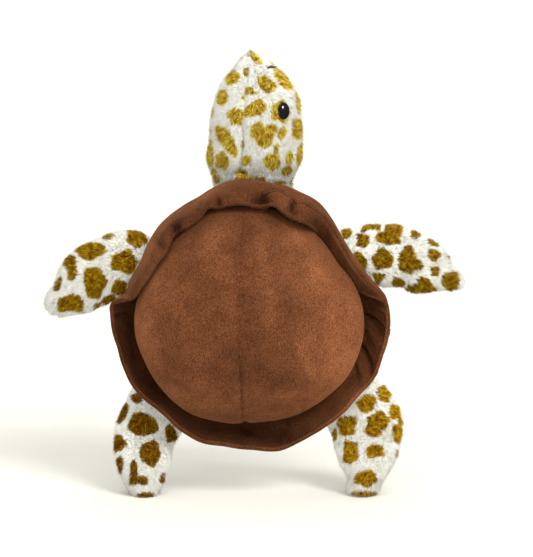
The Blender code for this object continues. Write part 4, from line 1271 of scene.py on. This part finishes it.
# Eyes: glossy black domes on a shank, seen at this pixel on the turtle's right
eyes = {"pixel": (282, 111), "half": (0.0054, 0.0069), "bulge": 0.0036, "proud": 0.0019, "patch": (0.0078, 0.0086),
        "shank": (0.0016, 0.0068)}


def mirrorOnHead(point):
    # The same place on the other side of the face.
    turn = math.radians(head["faceTurn"])
    across = Vector((math.cos(turn), -math.sin(turn), 0.0))
    pivot = Vector((-0.0007, head["axisDepth"], 0.0))
    off = (Vector(point) - pivot).dot(across)
    return Vector(point) - across * off * 2


def eyePlaces(tree):
    spot, normal = seenOn(tree, *eyes["pixel"], 0.01)
    twin, away = tree.find_nearest(mirrorOnHead(spot))[:2]
    if away.dot(twin - Vector((0.0, head["axisDepth"], twin.z))) < 0:
        away = -away
    return (("right", spot, normal), ("left", twin, away))


def clearEyes(grown, tree):
    # Presses the pile down where the eyes sit.
    points = pointsOf(grown)
    for side, spot, normal in eyePlaces(tree):
        right = Vector((0, 0, 1)).cross(normal).normalized()
        up = normal.cross(right)
        off = points - np.array(spot)
        share = np.hypot(off @ np.array(right) / eyes["half"][0], off @ np.array(up) / eyes["half"][1])
        height = off @ np.array(normal)
        near = (share < 1.06) & (np.abs(height) < 0.008)
        lower = np.where(near & (height > 0.0002), height - 0.0002, 0.0)
        points -= np.array(normal) * lower[:, None]
    putPoints(grown, points)


def buildEyes(tree):
    for side, spot, normal in eyePlaces(tree):
        deselectAll()
        bpy.ops.mesh.primitive_uv_sphere_add(segments=48, ring_count=24, radius=1.0)
        eye = bpy.context.object
        eye.name = "eye" + side.capitalize()
        wide, high = eyes["half"]
        points = pointsOf(eye)
        flat = np.where(points[:, 2] < 0, 0.35, 1.0)
        points *= np.stack([np.full(len(points), wide), np.full(len(points), high), eyes["bulge"] * flat], 1)
        bpy.ops.mesh.primitive_cylinder_add(vertices=24, radius=eyes["shank"][0], depth=eyes["shank"][1],
                                            location=(0, 0, -eyes["shank"][1] / 2))
        shank = bpy.context.object
        putPoints(eye, points)
        takeUp(shank)
        bpy.ops.object.transform_apply(location=True, rotation=True, scale=True)
        takeUp(eye)
        join = eye.modifiers.new("shank", "BOOLEAN")
        join.operation = "UNION"
        join.solver = "EXACT"
        join.object = shank
        applyAll(eye)
        bpy.data.objects.remove(shank)
        right = Vector((0, 0, 1)).cross(normal).normalized()
        up = normal.cross(right)
        points = pointsOf(eye)
        place = np.array(spot + normal * eyes["proud"])
        turned = place + points[:, :1] * np.array(right) + points[:, 1:2] * np.array(up) + points[:, 2:] * np.array(normal)
        putPoints(eye, turned)
        takeUp(eye)
        bpy.ops.object.shade_smooth_by_angle(angle=math.radians(40))
        dress(eye, eyeBlack, "head", ("eye_" + side,))
    for node in ("eye_washer_left", "eye_washer_right"):
        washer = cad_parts[node]
        washer.data.materials.clear()
        washer.data.materials.append(washerMaterial)
    print("eyes set")


# Nostrils: two twisted threads pulled tight over the pile
nostrils = {"ends": ((266.0, 69.4), (276.4, 69.8)), "radius": 0.00062, "proud": 0.0033, "twist": 0.00028}


def nostrilPaths(tree, count=15):
    (x0, y0), (x1, y1) = nostrils["ends"]
    for side in ("right", "left"):
        path = []
        for step in range(count):
            t = step / (count - 1)
            spot, normal = seenOn(tree, x0 + (x1 - x0) * t, y0 + (y1 - y0) * t, head["axisDepth"] - 0.02)
            if side == "left":
                spot, normal = tree.find_nearest(mirrorOnHead(spot))[:2]
            if normal.dot(spot - Vector((0.0, head["axisDepth"] - 0.01, 0.30))) < 0:
                normal = -normal
            path.append((spot, normal, float(smoothStep(0.0, 0.18, min(t, 1 - t)))))
        yield side, path


def clearNostrils(grown, tree):
    points = pointsOf(grown)
    for side, path in nostrilPaths(tree):
        for spot, normal, dive in path:
            off = points - np.array(spot)
            height = off @ np.array(normal)
            aside = np.linalg.norm(off - height[:, None] * np.array(normal), axis=1)
            limit = nostrils["proud"] * dive - 0.0012
            lower = np.where((aside < 0.0017) & (height > limit) & (height < 0.008), height - limit, 0.0)
            points -= np.array(normal) * lower[:, None]
    putPoints(grown, points)


def buildNostrils(tree):
    for side, found in nostrilPaths(tree):
        path = [spot + normal * (nostrils["proud"] * dive - 0.0006) for spot, normal, dive in found]
        count = len(path)
        strands = []
        for strand in range(2):
            curve = bpy.data.curves.new("thread", "CURVE")
            curve.dimensions = "3D"
            curve.bevel_depth = nostrils["radius"]
            curve.bevel_resolution = 3
            curve.use_fill_caps = True
            spline = curve.splines.new("POLY")
            spline.points.add(count - 1)
            for index, (point, spot) in enumerate(zip(spline.points, path)):
                turn = math.pi * (strand + index / 2.2)
                off = Vector((0, math.cos(turn), math.sin(turn))) * nostrils["twist"]
                point.co = (*(spot + off), 1.0)
            made = bpy.data.objects.new("thread", curve)
            bpy.context.scene.collection.objects.link(made)
            strands.append(made)
        deselectAll()
        for made in strands:
            made.select_set(True)
        bpy.context.view_layer.objects.active = strands[0]
        bpy.ops.object.convert(target="MESH")
        bpy.ops.object.join()
        piece = bpy.context.object
        piece.name = "nostril" + side.capitalize()
        bpy.ops.object.mode_set(mode="EDIT")
        bpy.ops.mesh.select_all(action="SELECT")
        bpy.ops.mesh.remove_doubles(threshold=0.00001)
        bpy.ops.mesh.normals_make_consistent(inside=False)
        bpy.ops.object.mode_set(mode="OBJECT")
        bpy.ops.object.shade_smooth()
        dress(piece, thread, "head", ("nostril_stitch_" + side,))
    print("nostrils stitched")


# Neck: a short plush tube behind the rim, rounded where it is sewn to the body
neck = {
    "hinge": (-0.000716, 0.036826, 0.23992), "radius": 0.020, "halfWidth": 0.0305,
    # height over the hinge, half width, half depth, and the middle's shift in y and x
    "upper": ((0.0065, 0.0310, 0.0240, -0.0024, -0.0004), (0.0132, 0.0330, 0.0262, -0.0034, 0.0)),
}


def neckShape(u, v):
    base = neck["hinge"][2]
    rows = []
    for part in (1.0, 0.97, 0.86, 0.66, 0.4, 0.15):
        thin = math.sqrt(1 - part ** 2)
        rows.append((base - neck["radius"] * part, neck["halfWidth"] * thin ** 0.5, neck["radius"] * thin,
                     neck["hinge"][1], neck["hinge"][0]))
    rows.append((base, neck["halfWidth"], neck["radius"], neck["hinge"][1], neck["hinge"][0]))
    for rise, wide, deep, middle, shift in neck["upper"]:
        rows.append((base + rise, wide, deep, neck["hinge"][1] + middle, neck["hinge"][0] + shift))
    rows = np.array(rows)
    row = flowing(np.linspace(0, 1, len(rows)), rows, v)
    turn = 2 * np.pi * u
    wide = np.maximum(row[:, 1] - plushInset, 0)
    deep = np.maximum(row[:, 2] - plushInset, 0)
    return np.stack([row[:, 4] + wide * np.cos(turn), row[:, 3] + deep * np.sin(turn), row[:, 0]], 1)


def buildNeck():
    piece = clothPanel("neckCover", 80, 24, neckShape)
    faceAway(piece, (neck["hinge"][0], neck["hinge"][1], neck["hinge"][2]))
    source = skinSource(piece, neckShape, -1)
    tree = treeOf([piece])
    spotMap = SpotMap(spots["neck"], tree, source["points"], source["normals"], 83, (1.15, 1.1, 0.8), 0.0, 0.94)
    colourAt = spottedColours(spotMap)
    grown = growPile("neckPile", source, colourAt, 91, seams=False)
    tintSkin(piece, colourAt, 6)
    backCloth(piece, shell["cloth"])
    dress(piece, plush, "neck", ("neck_cover",))
    dress(grown, plush, "neck")
    makeFilling("neckFilling", [tree], "neck", "neck_stuffing")
    print("neck sewn")


# Belly: one cream panel of short plush with the closing seam down its middle
belly = {"seam": 0.0024, "width": 0.0016, "stitch": 0.0006}


def buildBelly(domeTree):
    def shape(u, v):
        wide, high = 2 * u - 1, 2 * v - 1
        across = wide * np.sqrt(1 - high ** 2 / 2)
        up = high * np.sqrt(1 - wide ** 2 / 2)
        return shellForm(across, up, shell["bellyProfile"], shell["bellyDepth"], -1)
    piece = clothPanel("bellyCover", 120, 120, shape)
    faceAway(piece, shellMiddle)
    points, normals = pointsOf(piece), normalsOf(piece)
    toSeam = np.abs(points[:, 0] - shellMiddle[0])
    valley = belly["seam"] * np.exp(-(toSeam / belly["width"]) ** 2)
    pucker = belly["stitch"] * np.sin(points[:, 2] * 950.0) * np.exp(-toSeam / 0.005)
    slump = 0.0013 * wobble(points, 18.0, 11) + 0.0005 * wobble(points, 55.0, 13)
    low = smoothStep(shellMiddle[1] + 0.002, shellMiddle[1] + 0.012, points[:, 1])
    putPoints(piece, points + normals * ((slump - valley + pucker) * low)[:, None])
    bellyTree = treeOf([piece])
    backCloth(piece, shell["cloth"])
    dress(piece, bellyPlush, "shell", ("belly_cover",))
    makeFilling("bodyFilling", [domeTree, bellyTree], "shell", "body_stuffing")
    print("belly sewn")


# Floor and light: a white sweep, a broad soft lamp from the upper right and an even sky
studio = {"floor": paint(225, 223, 213), "sky": 1.0, "mirrored": 0.12, "size": 24.0,
          # strength, softness in degrees, where it shines from and whether the eyes mirror it
          "lamps": (("keyLamp", 2.6, 24.0, (0.54, -0.86, 0.70), True),
                    ("frontLamp", 2.7, 70.0, (-0.12, -1.0, 0.15), False))}


def buildStudio():
    deselectAll()
    bpy.ops.mesh.primitive_plane_add(size=studio["size"])
    floor = bpy.context.object
    floor.name = "studioFloor"
    material, tree, shader = newMaterial("studioFloor", 0.9)
    shader.inputs["Base Color"].default_value = studio["floor"]
    shader.inputs["Specular IOR Level"].default_value = 0.1
    floor.data.materials.append(material)
    floor.visible_glossy = False
    floor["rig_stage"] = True
    for name, strength, softness, place, mirrored in studio["lamps"]:
        bpy.ops.object.light_add(type="SUN", location=place)
        lamp = bpy.context.object
        lamp.name = name
        lamp.data.energy = strength
        lamp.data.angle = math.radians(softness)
        lamp.visible_glossy = mirrored
        lamp.rotation_mode = "QUATERNION"
        lamp.rotation_quaternion = (-Vector(place)).to_track_quat("-Z", "Y")
    world = bpy.data.worlds.new("studioSky")
    bpy.context.scene.world = world
    world.use_nodes = True
    tree = world.node_tree
    tree.nodes.clear()
    out = tree.nodes.new("ShaderNodeOutputWorld")
    sky = tree.nodes.new("ShaderNodeBackground")
    sky.inputs["Color"].default_value = (1.0, 1.0, 1.0, 1.0)
    path = tree.nodes.new("ShaderNodeLightPath")
    strength = path.outputs["Is Glossy Ray"]
    for chosen, level in (("Is Glossy Ray", "mirrored"), ("Is Camera Ray", None)):
        mix = tree.nodes.new("ShaderNodeMix")
        tree.links.new(path.outputs[chosen], mix.inputs["Factor"])
        if level:
            mix.inputs["A"].default_value = studio["sky"]
            mix.inputs["B"].default_value = studio[level]
        else:
            tree.links.new(strength, mix.inputs["A"])
            mix.inputs["B"].default_value = 1.0
        strength = mix.outputs["Result"]
    tree.links.new(strength, sky.inputs["Strength"])
    tree.links.new(sky.outputs[0], out.inputs["Surface"])
    bpy.context.scene.view_settings.view_transform = "Standard"
    print("studio lit")


buildStudio()
domeTree = buildDome()
buildRim()
headTree = buildHead()
buildEyes(headTree)
buildNostrils(headTree)
buildNeck()
for index, key in enumerate(limbs):
    buildLimb(key, 20 + index * 10)
buildBelly(domeTree)

triangles = sum(len(p.data.polygons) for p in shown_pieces())
print("faces in all:", triangles)
